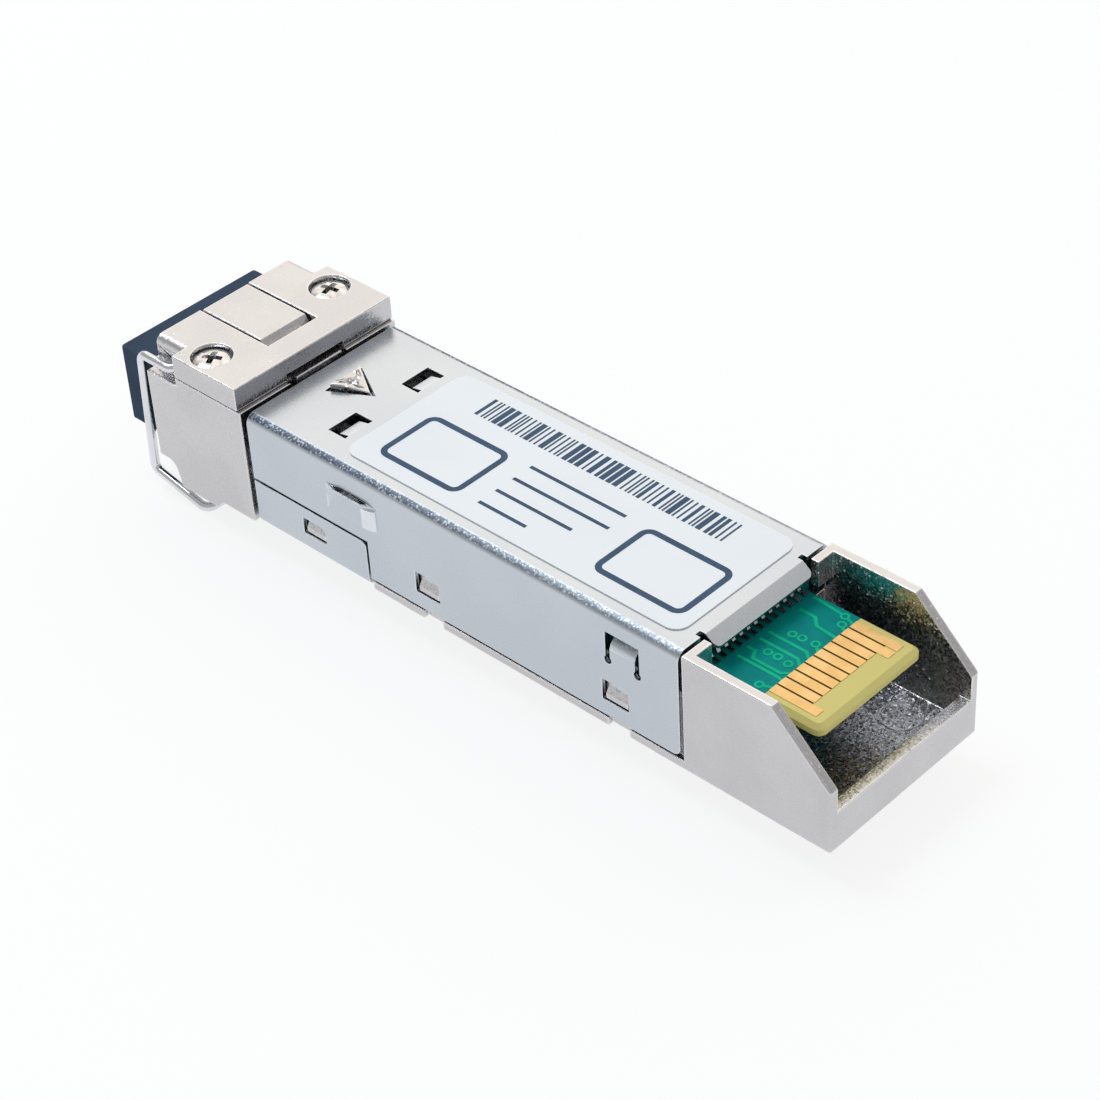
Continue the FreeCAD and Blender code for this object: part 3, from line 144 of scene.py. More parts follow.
def freed_mesh(work: BMesh, name: str) -> bpy.types.Mesh:
    """Turn a working mesh into a plain one.

    Args:
        work: Working mesh, which is freed.
        name: Name of the plain mesh.

    Returns:
        The plain mesh.
    """
    mesh = bpy.data.meshes.new(name)
    work.to_mesh(mesh)
    work.free()
    return mesh


class Graph:
    """Node tree with short ways to add and join nodes."""

    def __init__(self, tree: Tree) -> None:
        """Keep the tree that the nodes go into."""
        self.tree = tree

    def node(self, kind: str, *sources: Source, **settings: object) -> bpy.types.Node:
        """Add a node.

        Args:
            kind: Blender's name of the node type.
            sources: What its inputs take, in their order.
            settings: Properties of the node to set.

        Returns:
            The new node.
        """
        made = self.tree.nodes.new(kind)
        for name, setting in settings.items():
            setattr(made, name, setting)
        for socket, source in zip(made.inputs, sources):
            self.feed(socket, source)
        return made

    def feed(self, target: Socket, source: Source) -> None:
        """Link a socket into the target, or set the target to a plain value.

        Args:
            target: Input socket.
            source: Output socket, number, vector or colour.
        """
        if isinstance(source, Socket):
            self.tree.links.new(source, target)
        else:
            target.default_value = source

    def math(self, operation: str, *sources: Source) -> Socket:
        """Work out a value from others."""
        return self.node("ShaderNodeMath", *sources, operation=operation).outputs["Value"]

    def vector(self, operation: str, *sources: Source) -> Socket:
        """Work out a vector from others."""
        return self.node("ShaderNodeVectorMath", *sources, operation=operation).outputs["Vector"]

    def agreement(self, first: Source, second: Source) -> Socket:
        """Return how far two directions agree, from -1 to 1."""
        return self.node("ShaderNodeVectorMath", first, second, operation="DOT_PRODUCT").outputs["Value"]

    def blend(self, share: Source, first: Source, second: Source) -> Socket:
        """Mix two colours.

        Args:
            share: Share of the second colour.
            first: Colour at a share of nothing.
            second: Colour at a share of one.

        Returns:
            Socket with the mixed colour.
        """
        made = self.node("ShaderNodeMix", share, data_type="RGBA")
        colours = [socket for socket in made.inputs if socket.type == "RGBA"]
        self.feed(colours[0], first)
        self.feed(colours[1], second)
        return [socket for socket in made.outputs if socket.type == "RGBA"][0]

    def ramp(self, source: Source, low: Source, high: Source) -> Socket:
        """Return a smooth step from 0 at the low value to 1 at the high value."""
        made = self.node("ShaderNodeMapRange", source, low, high, interpolation_type="SMOOTHSTEP")
        return made.outputs["Result"]

    def axes(self, source: Socket) -> Sockets:
        """Return the parts of a vector along X, Y and Z."""
        return self.node("ShaderNodeSeparateXYZ", source).outputs

    def channels(self, source: Socket) -> Sockets:
        """Return the red, green and blue parts of a colour."""
        return self.node("ShaderNodeSeparateColor", source).outputs

    def place(self) -> Socket:
        """Return the place on the piece, in metres of the frame."""
        return self.node("ShaderNodeTexCoord").outputs["Object"]

    def normal(self) -> Socket:
        """Return the direction that the surface faces."""
        return self.node("ShaderNodeNewGeometry").outputs["Normal"]

    def noise(self, size: Source, detail: float) -> Socket:
        """Return soft noise over the piece, with the size of its cells in millimetres."""
        scale = self.math("DIVIDE", 1 / MM, size)
        return self.node("ShaderNodeTexNoise", self.place(), FOURTH, scale, detail).outputs["Fac"]

    def cells(self, size: Source) -> Sockets:
        """Return a pattern of random cells over the piece, with their size in millimetres."""
        scale = self.math("DIVIDE", 1 / MM, size)
        return self.node("ShaderNodeTexVoronoi", self.place(), FOURTH, scale).outputs


@dataclass
class EffectLibrary:
    """Shader node groups for the shared surface effects, each built once."""

    soft_stretch: float = 1.25
    soft_detail: float = 3.0
    soft_share: float = 0.9
    cell_share: float = 0.45
    rare_power: float = 4.0
    rare_lean: float = 2.0
    least_lean: float = 0.4
    slow_detail: float = 2.0
    tone_band: Point = (0.32, 0.68)
    wear_and_highlight_samples: int = 6
    wear_and_highlight_band: Point = (0.004, 0.07)
    breakup_band: Point = (0.25, 0.55)
    bend_side: float = 0.34
    bend_upward: Point = (0.58, 0.72)
    fade_places: Point = (30.0, -15.0)
    fade_least: float = 0.5
    wall_band: Point = (-1.0, -3.0)
    floor_band: Point = (0.6, 0.9)
    groups: dict[Effect, Tree] = field(default_factory=dict)

    def use(self, graph: Graph, effect: Effect, **values: float) -> bpy.types.Node:
        """Place an effect in a material.

        Args:
            graph: Node graph of the material.
            effect: Effect to place.
            values: Values of the group's inputs, by their names in lower case.

        Returns:
            The group node.
        """
        if effect not in self.groups:
            builders = {
                Effect.GRAIN: self._grain,
                Effect.TONE: self._tone,
                Effect.SPECKS: self._specks,
                Effect.WEAR_AND_HIGHLIGHT: self._wear_and_highlight,
                Effect.BEND: self._bend,
                Effect.INSIDE: self._inside,
            }
            builders[effect]()
        made = graph.node("ShaderNodeGroup", node_tree=self.groups[effect])
        for name, number in values.items():
            made.inputs[name.capitalize()].default_value = number
        return made

    def _start(
        self, effect: Effect, inputs: Sequence[str], outputs: Sequence[str]
    ) -> tuple[Graph, Sockets, Sockets]:
        """Make an empty group with its sockets, and keep it.

        Args:
            effect: Effect that the group is for.
            inputs: Names of its inputs, which are numbers.
            outputs: Names of its outputs: a normal is a vector, the others are numbers.

        Returns:
            Graph of the group, what it is given, and what takes its results.
        """
        tree = bpy.data.node_groups.new(effect.value, "ShaderNodeTree")
        for name in inputs:
            tree.interface.new_socket(name, in_out="INPUT", socket_type="NodeSocketFloat")
        for name in outputs:
            kind = "NodeSocketVector" if name == "Normal" else "NodeSocketFloat"
            tree.interface.new_socket(name, in_out="OUTPUT", socket_type=kind)
        self.groups[effect] = tree
        graph = Graph(tree)
        return graph, graph.node("NodeGroupInput").outputs, graph.node("NodeGroupOutput").inputs

    def _grain(self) -> None:
        """Build the fine grain: a height for bump, and flakes that differ in value and lean."""
        graph, given, result = self._start(Effect.GRAIN, ("Size", "Lean"), ("Height", "Flake", "Normal"))
        cells = graph.cells(given["Size"])
        soft = graph.noise(graph.math("MULTIPLY", given["Size"], self.soft_stretch), self.soft_detail)
        cell_height = graph.math("MULTIPLY", cells["Distance"], self.cell_share)
        graph.feed(result["Height"], graph.math("MULTIPLY_ADD", soft, self.soft_share, cell_height))
        chance = graph.channels(cells["Color"])
        graph.feed(result["Flake"], chance["Red"])
        rare = graph.math("POWER", chance["Blue"], self.rare_power)
        reach = graph.math("MULTIPLY_ADD", rare, self.rare_lean, self.least_lean)
        away = graph.vector("SUBTRACT", cells["Color"], (0.5, 0.5, 0.5))
        lean = graph.vector("MULTIPLY", away, graph.math("MULTIPLY", reach, given["Lean"]))
        graph.feed(result["Normal"], graph.vector("NORMALIZE", graph.vector("ADD", graph.normal(), lean)))

    def _tone(self) -> None:
        """Build the slow drift of tone over a surface."""
        graph, given, result = self._start(Effect.TONE, ("Size",), ("Tone",))
        drift = graph.noise(given["Size"], self.slow_detail)
        graph.feed(result["Tone"], graph.ramp(drift, *self.tone_band))

    def _specks(self) -> None:
        """Build small specks in a few of many random cells."""
        graph, given, result = self._start(Effect.SPECKS, ("Spacing", "Share", "Chance"), ("Mask",))
        cells = graph.cells(given["Spacing"])
        chosen = graph.math("LESS_THAN", graph.channels(cells["Color"])["Green"], given["Chance"])
        inside = graph.math("LESS_THAN", cells["Distance"], given["Share"])
        graph.feed(result["Mask"], graph.math("MULTIPLY", chosen, inside))

    def _wear_and_highlight(self) -> None:
        """Build the mask of rubbed edges, which also paints their highlight, broken up by soft noise."""
        graph, given, result = self._start(Effect.WEAR_AND_HIGHLIGHT, ("Width", "Breakup"), ("Mask",))
        radius = graph.math("MULTIPLY", given["Width"], MM)
        bevel = graph.node("ShaderNodeBevel", radius, samples=self.wear_and_highlight_samples)
        flat = graph.node("ShaderNodeNewGeometry").outputs["True Normal"]
        turned = graph.math("SUBTRACT", 1.0, graph.agreement(bevel.outputs["Normal"], flat))
        broken = graph.ramp(graph.noise(given["Breakup"], self.slow_detail), *self.breakup_band)
        edge = graph.ramp(turned, *self.wear_and_highlight_band)
        graph.feed(result["Mask"], graph.math("MULTIPLY", edge, broken))

    def _bend(self) -> None:
        """Build the mask of bends along the module, which face upward and sideways and fade to the rear; it
        roughens them and carries their painted dark reflection.
        """
        graph, given, result = self._start(Effect.BEND, ("Limit",), ("Mask",))
        facing = graph.axes(graph.normal())
        sideways = graph.ramp(graph.math("ABSOLUTE", facing["Y"]), given["Limit"], self.bend_side)
        upward = graph.ramp(graph.math("ABSOLUTE", facing["Z"]), *self.bend_upward)
        forward = graph.ramp(graph.axes(graph.place())["X"], *(MM * place for place in self.fade_places))
        fading = graph.math("MULTIPLY_ADD", forward, 1 - self.fade_least, self.fade_least)
        bend = graph.math("MULTIPLY", sideways, upward)
        graph.feed(result["Mask"], graph.math("MULTIPLY", bend, fading))

    def _inside(self) -> None:
        """Build the mask of inner walls, and of the floor below a limit in millimetres."""
        graph, given, result = self._start(Effect.INSIDE, ("Limit",), ("Mask",))
        facing = graph.axes(graph.normal())
        place = graph.axes(graph.place())
        outward = graph.math("MULTIPLY", facing["Y"], place["Y"])
        walls = graph.ramp(outward, *(MM * limit for limit in self.wall_band))
        low_down = graph.math("LESS_THAN", place["Z"], graph.math("MULTIPLY", given["Limit"], MM))
        floor = graph.math("MULTIPLY", graph.ramp(facing["Z"], *self.floor_band), low_down)
        graph.feed(result["Mask"], graph.math("MAXIMUM", walls, floor))


@dataclass(frozen=True)
class Finish:
    """Finish of a surface, with its drift of tone, grain, rough place with its painted shade, specks, and
    rubbed edges with their painted highlight.
    """

    name: str
    colour: str
    shade: str
    metallic: float = 0.0
    roughness: float = 0.5
    roughness_swing: float = 0.1
    specular: float = 0.5
    tone_size: float = 4.0
    grain_size: float = 0.15
    grain_depth: float = 0.003
    flake_lean: float = 0.0
    rough_place: Effect | None = None
    rough_limit: float = 0.0
    rough_lean: float = 0.0
    rough_spread: float = 0.0
    # Colour painted into the rough place's flakes as a dark reflection.
    rough_painted_shade: str = ""
    rough_flakes: Point = (0.0, 0.4)
    speck_colour: str = ""
    speck_spacing: float = 0.8
    speck_share: float = 0.1
    speck_chance: float = 0.1
    # Colour of rubbed edges, which also paints their highlight.
    wear_and_highlight_colour: str = ""
    wear_and_highlight_width: float = 0.1
    wear_and_highlight_breakup: float = 10.0

    def base_colour(self, graph: Graph, effects: EffectLibrary) -> Socket:
        """Return the colour before specks and wear: two tones that drift into each other."""
        tone = effects.use(graph, Effect.TONE, size=self.tone_size)
        return graph.blend(tone.outputs["Tone"], tint(self.colour), tint(self.shade))

    def material(self, effects: EffectLibrary) -> bpy.types.Material:
        """Build the material, or return it if it is built.

        Args:
            effects: Library of the shared effects.

        Returns:
            The material of this finish.
        """
        name = self.name + "_finish"
        if name in bpy.data.materials:
            return bpy.data.materials[name]
        made = bpy.data.materials.new(name)
        made.use_nodes = True
        made.node_tree.nodes.clear()
        graph = Graph(made.node_tree)
        shader = graph.node("ShaderNodeBsdfPrincipled")
        graph.node("ShaderNodeOutputMaterial", shader.outputs["BSDF"])
        shader.inputs["Metallic"].default_value = self.metallic
        shader.inputs["Specular IOR Level"].default_value = self.specular

        colour = self.base_colour(graph, effects)
        grain = effects.use(graph, Effect.GRAIN, size=self.grain_size, lean=self.flake_lean)
        swing = graph.math("SUBTRACT", grain.outputs["Flake"], 0.5)
        roughness = graph.math("MULTIPLY_ADD", swing, self.roughness_swing, self.roughness)
        if self.rough_place:
            rough = effects.use(graph, self.rough_place, limit=self.rough_limit).outputs["Mask"]
            lean = graph.math("MULTIPLY_ADD", rough, self.rough_lean, self.flake_lean)
            graph.feed(grain.inputs["Lean"], lean)
            roughness = graph.math("MULTIPLY_ADD", rough, self.rough_spread, roughness)
            # Painted shade: flakes in the rough place darkened to stand in for a dark reflection.
            if self.rough_painted_shade:
                painted_shade = graph.math("MULTIPLY", rough, graph.ramp(grain.outputs["Flake"], *self.rough_flakes))
                colour = graph.blend(painted_shade, colour, tint(self.rough_painted_shade))
        if self.speck_colour:
            specks = effects.use(
                graph, Effect.SPECKS, spacing=self.speck_spacing, share=self.speck_share,
                chance=self.speck_chance,
            )
            colour = graph.blend(specks.outputs["Mask"], colour, tint(self.speck_colour))
        # Rubbed edges, lightened also to paint their highlight.
        if self.wear_and_highlight_colour:
            breakup = self.wear_and_highlight_breakup * self.wear_and_highlight_width
            wear_highlight = effects.use(graph, Effect.WEAR_AND_HIGHLIGHT, width=self.wear_and_highlight_width, breakup=breakup)
            colour = graph.blend(wear_highlight.outputs["Mask"], colour, tint(self.wear_and_highlight_colour))
        graph.feed(shader.inputs["Base Color"], colour)
        graph.feed(shader.inputs["Roughness"], roughness)
        bump = graph.node("ShaderNodeBump")
        bump.inputs["Distance"].default_value = self.grain_depth * MM
        graph.feed(bump.inputs["Height"], grain.outputs["Height"])
        graph.feed(bump.inputs["Normal"], grain.outputs["Normal"])
        graph.feed(shader.inputs["Normal"], bump.outputs["Normal"])
        return made


@dataclass(frozen=True)
class BoardFinish(Finish):
    """Solder mask over laminate: bare laminate at the card edge and dark gaps between the contacts."""

    laminate: str = "#D4CA80"
    gap: str = "#5A4A22"

    def base_colour(self, graph: Graph, effects: EffectLibrary) -> Socket:
        """Colour the mask, and the laminate behind the front line of the contacts.

        Args:
            graph: Node graph of the material.
            effects: Library of the shared effects.

        Returns:
            Socket with the colour.
        """
        mask = super().base_colour(graph, effects)
        low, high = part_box("contact_pads_upper")
        place = graph.axes(graph.place())
        bare = graph.math("GREATER_THAN", place["X"], low.x)
        colour = graph.blend(bare, mask, tint(self.laminate))
        in_row = graph.math("LESS_THAN", graph.math("ABSOLUTE", place["Y"]), high.y)
        in_length = graph.math("LESS_THAN", place["X"], low.x + CardEdge.short_contact * MM)
        between = graph.math("MULTIPLY", bare, graph.math("MULTIPLY", in_row, in_length))
        return graph.blend(between, colour, tint(self.gap))


class Finishes:
    """Every finish on the module."""

    # A finish's wear colour paints rubbed edges together with their highlight.
    CAST = Finish(
        "cast_nickel", "#CBCACC", "#C5C4C7", metallic=1.0, roughness=0.27, roughness_swing=0.14,
        tone_size=5.0, grain_size=0.11, grain_depth=0.0024, flake_lean=0.12, rough_place=Effect.INSIDE,
        rough_limit=4.5, rough_lean=0.23, speck_colour="#9A9794", speck_spacing=0.7, speck_share=0.07,
        speck_chance=0.03, wear_and_highlight_colour="#F6F4F1", wear_and_highlight_width=0.2,
    )
    CROWN = Finish(
        "rough_nickel", "#C4C3C4", "#8E8C8B", metallic=1.0, roughness=0.2, roughness_swing=0.2,
        tone_size=0.5, grain_size=0.16, grain_depth=0.004, flake_lean=0.5, wear_and_highlight_colour="#F1EFEC",
        wear_and_highlight_width=0.06,
    )
    # The bend band is rougher and takes a painted dark reflection; edges take a painted highlight.
    SHEET = Finish(
        "satin_sheet", "#C5CBD2", "#BFC6CE", metallic=1.0, roughness=0.25, roughness_swing=0.05,
        tone_size=9.0, grain_size=0.11, grain_depth=0.0005, flake_lean=0.012, rough_place=Effect.BEND,
        rough_limit=0.08, rough_lean=0.3, rough_spread=0.35, rough_painted_shade="#626C7B", wear_and_highlight_colour="#F2F5F8",
        wear_and_highlight_width=0.12,
    )
    # Lighter sheet that paints highlights on the louvre lips and rounded ends and on the mould mark.
    HIGHLIGHT_SHEET = Finish(
        "painted_highlight_sheet", "#EBEEF1", "#DEE3E8", metallic=1.0, roughness=0.3, tone_size=1.5, grain_size=0.1,
        grain_depth=0.0005,
    )
    WIRE = Finish(
        "drawn_wire", "#E2E3E6", "#D6D8DC", metallic=1.0, roughness=0.1, roughness_swing=0.05,
        tone_size=3.0, grain_size=0.06, grain_depth=0.0006,
    )
    SCREW = Finish(
        "bright_screw", "#DCDCDB", "#C2C2C2", metallic=1.0, roughness=0.12, tone_size=0.45, grain_size=0.14,
        grain_depth=0.0015, flake_lean=0.14, wear_and_highlight_colour="#F4F4F4", wear_and_highlight_width=0.08,
    )
    # Near-black finish that paints the shade in the screws' cross recesses.
    RECESS_SHADE = Finish("painted_recess_shade", "#2B2A2A", "#3A3938", roughness=0.6, tone_size=0.3, grain_size=0.06)
    PLUG = Finish(
        "plug_plastic", "#364558", "#3A4A5E", roughness=0.7, roughness_swing=0.12, specular=0.05,
        tone_size=3.0, grain_size=0.1, grain_depth=0.002, speck_colour="#A9B1BB", speck_spacing=2.4,
        speck_share=0.035, wear_and_highlight_colour="#55647A", wear_and_highlight_width=0.12,
    )
    LABEL = Finish(
        "label_film", "#E7EDF2", "#E4EAF0", roughness=0.36, roughness_swing=0.05, specular=0.3,
        tone_size=8.0, grain_size=0.2, grain_depth=0.0006,
    )
    PRINT = Finish(
        "label_print", "#3B516A", "#405872", roughness=0.4, specular=0.1, tone_size=1.5, grain_size=0.1,
        grain_depth=0.0006,
    )
    BOARD = BoardFinish(
        "solder_mask", "#00807F", "#008A86", roughness_swing=0.08, specular=0.06, tone_size=1.6,
        grain_size=0.16, grain_depth=0.0008,
    )
    TRACE = Finish(
        "masked_copper", "#00AE84", "#0CBA8E", roughness_swing=0.08, specular=0.08, tone_size=1.2,
        grain_size=0.16, grain_depth=0.0006,
    )
    GOLD = Finish(
        "hard_gold", "#DDBA80", "#D3AE72", metallic=1.0, roughness=0.32, roughness_swing=0.06, tone_size=0.9,
        grain_size=0.12, grain_depth=0.0004, wear_and_highlight_colour="#F3C68C", wear_and_highlight_width=0.04,
    )
    SOLDER = Finish(
        "solder", "#B9BBBD", "#9FA2A5", metallic=1.0, roughness=0.3, roughness_swing=0.15, tone_size=0.4,
        grain_size=0.08, grain_depth=0.002,
    )
    SPRING = Finish("spring_steel", "#A9A9A8", "#9C9C9C", metallic=1.0, roughness=0.3, grain_size=0.05)
    TURNED = Finish("turned_steel", "#B9B7B4", "#ABA9A6", metallic=1.0, roughness=0.26, grain_size=0.05)
    CERAMIC = Finish("white_ceramic", "#F1EEE6", "#E8E4DA", roughness=0.2, grain_size=0.05)
    FLEX = Finish("flex_film", "#B9812F", "#A87124", roughness=0.35, grain_size=0.2, grain_depth=0.001)
    CHIP = Finish("chip_body", "#26272A", "#2D2E31", roughness=0.55, grain_size=0.06, grain_depth=0.002)
    CAPACITOR = Finish("chip_ceramic", "#A98B6C", "#9B7D5F", roughness=0.4, grain_size=0.08)
    GEL = Finish("gap_gel", "#8E98A3", "#848E99", roughness=0.65, grain_size=0.12)


def circle(middle: Point, radius: float, sides: int = 28) -> list[Point]:
    """Return the points of a circle in the plane."""
    turns = [2 * math.pi * step / sides for step in range(sides)]
    return [(middle[0] + radius * math.cos(turn), middle[1] + radius * math.sin(turn)) for turn in turns]


def rounded_box(low: Point, high: Point, radius: float, steps: int = 6) -> list[Point]:
    """Return the points of a rectangle with round corners.

    Args:
        low: Lowest corner.
        high: Highest corner.
        radius: Radius of the corners.
        steps: Faces along a corner.

    Returns:
        Points in order.
    """
    middles = (
        (high[0] - radius, high[1] - radius), (low[0] + radius, high[1] - radius),
        (low[0] + radius, low[1] + radius), (high[0] - radius, low[1] + radius),
    )
    points = []
    for corner, (x, y) in enumerate(middles):
        for step in range(steps + 1):
            turn = math.pi / 2 * (corner + step / steps)
            points.append((x + radius * math.cos(turn), y + radius * math.sin(turn)))
    return points


def ribbon_outline(route: Sequence[Point], width: float) -> list[Point]:
    """Return the outline of a flat strip of even width along a route.

    Args:
        route: Points of its middle line.
        width: Width of the strip.

    Returns:
        Corners of the outline, mitred at the bends.
    """
    left: list[Point] = []
    right: list[Point] = []
    points = [Vector(point) for point in route]
    for index, point in enumerate(points):
        before = (point - points[index - 1]).normalized() if index else None
        after = (points[index + 1] - point).normalized() if index + 1 < len(points) else None
        along = ((before or after) + (after or before)).normalized()
        stretch = 1 / max(along.dot(after or before), MITRE_LIMIT)
        offset = Vector((-along.y, along.x)) * (width / 2 * stretch)
        left.append(tuple(point + offset))
        right.append(tuple(point - offset))
    return left + right[::-1]


def rounded_route(corners: Sequence[Vector], radii: Sequence[float], steps: int = 12) -> list[Vector]:
    """Return a route with arcs at its inner corners.

    Args:
        corners: Corners of the route.
        radii: Radius at each inner corner.
        steps: Points along an arc.

    Returns:
        Points of the route.
    """
    route = [corners[0]]
    for before, corner, after, radius in zip(corners, corners[1:], corners[2:], radii):
        inward = (before - corner).normalized()
        onward = (after - corner).normalized()
        half = inward.angle(onward) / 2
        centre = corner + (inward + onward).normalized() * (radius / math.sin(half))
        first, last = (corner + way * (radius / math.tan(half)) - centre for way in (inward, onward))
        for step in range(steps + 1):
            route.append(centre + first.slerp(last, step / steps) * radius)
    route.append(corners[-1])
    return route


def ring(work: BMesh, outline: Sequence[Point], height: float) -> list[bmesh.types.BMVert]:
    """Add the points of an outline at a height, and return them."""
    return [work.verts.new((x, y, height)) for x, y in outline]


def bridge(work: BMesh, rings: Sequence[Sequence[bmesh.types.BMVert]]) -> None:
    """Join rings of points by bands of faces.

    Args:
        work: Mesh to add to.
        rings: Rings in order, each with the same number of points or with one.
    """
    for here, there in zip(rings, rings[1:]):
        for step in range(max(len(here), len(there))):
            lower = [here[index % len(here)] for index in (step, step + 1)]
            upper = [there[index % len(there)] for index in (step + 1, step)]
            work.faces.new(list(dict.fromkeys(lower + upper)))


def add_slab(
    work: BMesh, corners: Sequence[Point], low: float, high: float, top_corners: Sequence[Point] = ()
) -> None:
    """Add a flat slab over an outline.

    Args:
        work: Mesh to add to.
        corners: Outline in the plane, in order.
        low: Height of its lower face.
        high: Height of its upper face.
        top_corners: Outline of its upper face, where that differs.
    """
    lower = ring(work, corners, low)
    upper = ring(work, top_corners or corners, high)
    work.faces.new(upper)
    work.faces.new(lower[::-1])
    bridge(work, [lower, upper])


def add_band(work: BMesh, inner: Sequence[Point], outer: Sequence[Point], low: float, high: float) -> None:
    """Add a flat band between two outlines with the same number of points.

    Args:
        work: Mesh to add to.
        inner: Inner outline in the plane, in order.
        outer: Outer outline in the plane, in order.
        low: Height of its lower face.
        high: Height of its upper face.
    """
    sides = ((inner, low), (outer, low), (outer, high), (inner, high))
    rings = [ring(work, outline, height) for outline, height in sides]
    bridge(work, rings + rings[:1])


def tube(route: Sequence[Vector], radius: float, sides: int = 20) -> BMesh:
    """Sweep a round section along a route.

    Args:
        route: Points of the middle line.
        radius: Radius of the section.
        sides: Steps round the section.

    Returns:
        The working mesh.
    """
    work = bmesh.new()
    section = circle((0.0, 0.0), radius, sides)
    along = (route[1] - route[0]).normalized()
    across = along.orthogonal().normalized()
    rings = []
    for index, point in enumerate(route):
        turned = (route[min(index + 1, len(route) - 1)] - route[max(index - 1, 0)]).normalized()
        across = (along.rotation_difference(turned) @ across).normalized()
        along = turned
        other = along.cross(across)
        rings.append([work.verts.new(point + across * u + other * v) for u, v in section])
    bridge(work, rings)
    work.faces.new(rings[0])
    work.faces.new(rings[-1][::-1])
    return work


def lathe(profile: Sequence[Point], sides: int = 48) -> BMesh:
    """Turn a profile of radius and height about the upright axis.

    Args:
        profile: Points from the axis at the top to the axis at the bottom.
        sides: Steps round the axis.

    Returns:
        The working mesh.
    """
    work = bmesh.new()
    outlines = [(circle((0.0, 0.0), radius, sides if radius else 1), height) for radius, height in profile]
    bridge(work, [ring(work, outline, height) for outline, height in outlines])
    return work


def carved(body: BMesh, cutters: Iterable[BMesh]) -> BMesh:
    """Take cutters away from a solid.

    Args:
        body: Solid to cut, which is freed.
        cutters: Solids to take away, which are freed.

    Returns:
        The working mesh that is left.
    """
    solids = []
    for work in (body, *cutters):
        bmesh.ops.recalc_face_normals(work, faces=work.faces)
        solids.append(linked("carving", freed_mesh(work, "carving")))
    for tool in solids[1:]:
        cut = solids[0].modifiers.new("cut", "BOOLEAN")
        cut.operation = "DIFFERENCE"
        cut.solver = "EXACT"
        cut.object = tool
    mesh = bpy.data.meshes.new_from_object(solids[0].evaluated_get(bpy.context.evaluated_depsgraph_get()))
    left = bmesh.new()
    left.from_mesh(mesh)
    bpy.data.meshes.remove(mesh)
    for used in solids:
        bpy.data.objects.remove(used)
    return left


def round_edges(work: BMesh, width: float, segments: int = 2, clamp: bool = False) -> None:
    """Round the sharp edges of a working mesh.

    Args:
        work: Mesh to change.
        width: Width of the rounds.
        segments: Faces across a round.
        clamp: Whether a round stops where it meets another.
    """
    sharp = [edge for edge in work.edges if edge.is_manifold and edge.calc_face_angle() > SHARP_ANGLE]
    bmesh.ops.bevel(
        work, geom=sharp, offset=width, offset_type="OFFSET", segments=segments, profile=ROUND_PROFILE,
        affect="EDGES", clamp_overlap=clamp,
    )


@dataclass
class PieceShop:
    """Turns meshes in millimetres into pieces that ride on the frame."""

    effects: EffectLibrary

    def dress(self, node: str, finish: Finish) -> None:
        """Give a solid of the frame its finish.

        Args:
            node: Solid to dress.
            finish: Its finish.
        """
        for slot in frame["nodes"][node].material_slots:
            slot.material = finish.material(self.effects)
        LOG.info("%s dressed as %s", node, finish.name)

    def place(
        self, name: str, work: BMesh, finish: Finish, body: Body, slot: str, *nodes: str, crease: float = 50.0
    ) -> None:
        """Shade a working mesh, scale it to metres and make it a piece of a body.

        Args:
            name: Name of the piece.
            work: Its working mesh, which is freed.
            finish: Its finish.
            body: Body that it rides on.
            slot: Material slot of the record that it belongs to; not used.
            nodes: Solids of the frame that it stands for.
            crease: Angle in degrees above which an edge stays sharp.
        """
        mesh = self._shaded(work, name, crease)
        mesh.transform(Matrix.Scale(MM, 4))
        mesh.materials.clear()
        mesh.materials.append(finish.material(self.effects))
        piece = linked(name, mesh)
        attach(piece, body.value)
        if nodes:
            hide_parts(*nodes)
        LOG.info("%s: %d faces on %s", name, len(mesh.polygons), body.value)

    @staticmethod
    def _shaded(work: BMesh, name: str, crease: float) -> bpy.types.Mesh:
        """Turn a working mesh into one with smooth rounds and flat flats.

        Args:
            work: Working mesh, which is freed.
            name: Name of the new mesh.
            crease: Angle in degrees above which an edge stays sharp.

        Returns:
            The mesh, still in millimetres.
        """
        bmesh.ops.recalc_face_normals(work, faces=work.faces)
        draft = freed_mesh(work, name + "_draft")
        draft.polygons.foreach_set("use_smooth", [True] * len(draft.polygons))
        draft.set_sharp_from_angle(angle=math.radians(crease))
        holder = linked(name + "_draft", draft)
        holder.modifiers.new("weighted", "WEIGHTED_NORMAL").keep_sharp = True
        mesh = bpy.data.meshes.new_from_object(holder.evaluated_get(bpy.context.evaluated_depsgraph_get()))
        mesh.name = name
        bpy.data.objects.remove(holder)
        bpy.data.meshes.remove(draft)
        return mesh

    @staticmethod
    def softened(node: str, width: float, segments: int = 2) -> BMesh:
        """Copy a solid with its sharp edges rounded, inside the solid's own box.

        Args:
            node: Solid to copy.
            width: Width of the rounds.
            segments: Faces across a round.

        Returns:
            The working mesh.
        """
        work = bmesh.new()
        work.from_mesh(frame["nodes"][node].data)
        work.transform(Matrix.Scale(1 / MM, 4))
        bmesh.ops.remove_doubles(work, verts=work.verts, dist=WELD_DISTANCE)
        bmesh.ops.dissolve_limit(work, angle_limit=FLAT_ANGLE, verts=work.verts, edges=work.edges)
        surface = BVHTree.FromBMesh(work)
        round_edges(work, width, segments)
        low, high = node_box(node)
        for vert in work.verts:
            nearest, _, _, distance = surface.find_nearest(vert.co)
            if distance > STAND_OFF * width:
                vert.co = nearest
            vert.co = [min(max(part, least), most) for part, least, most in zip(vert.co, low, high)]
        return work


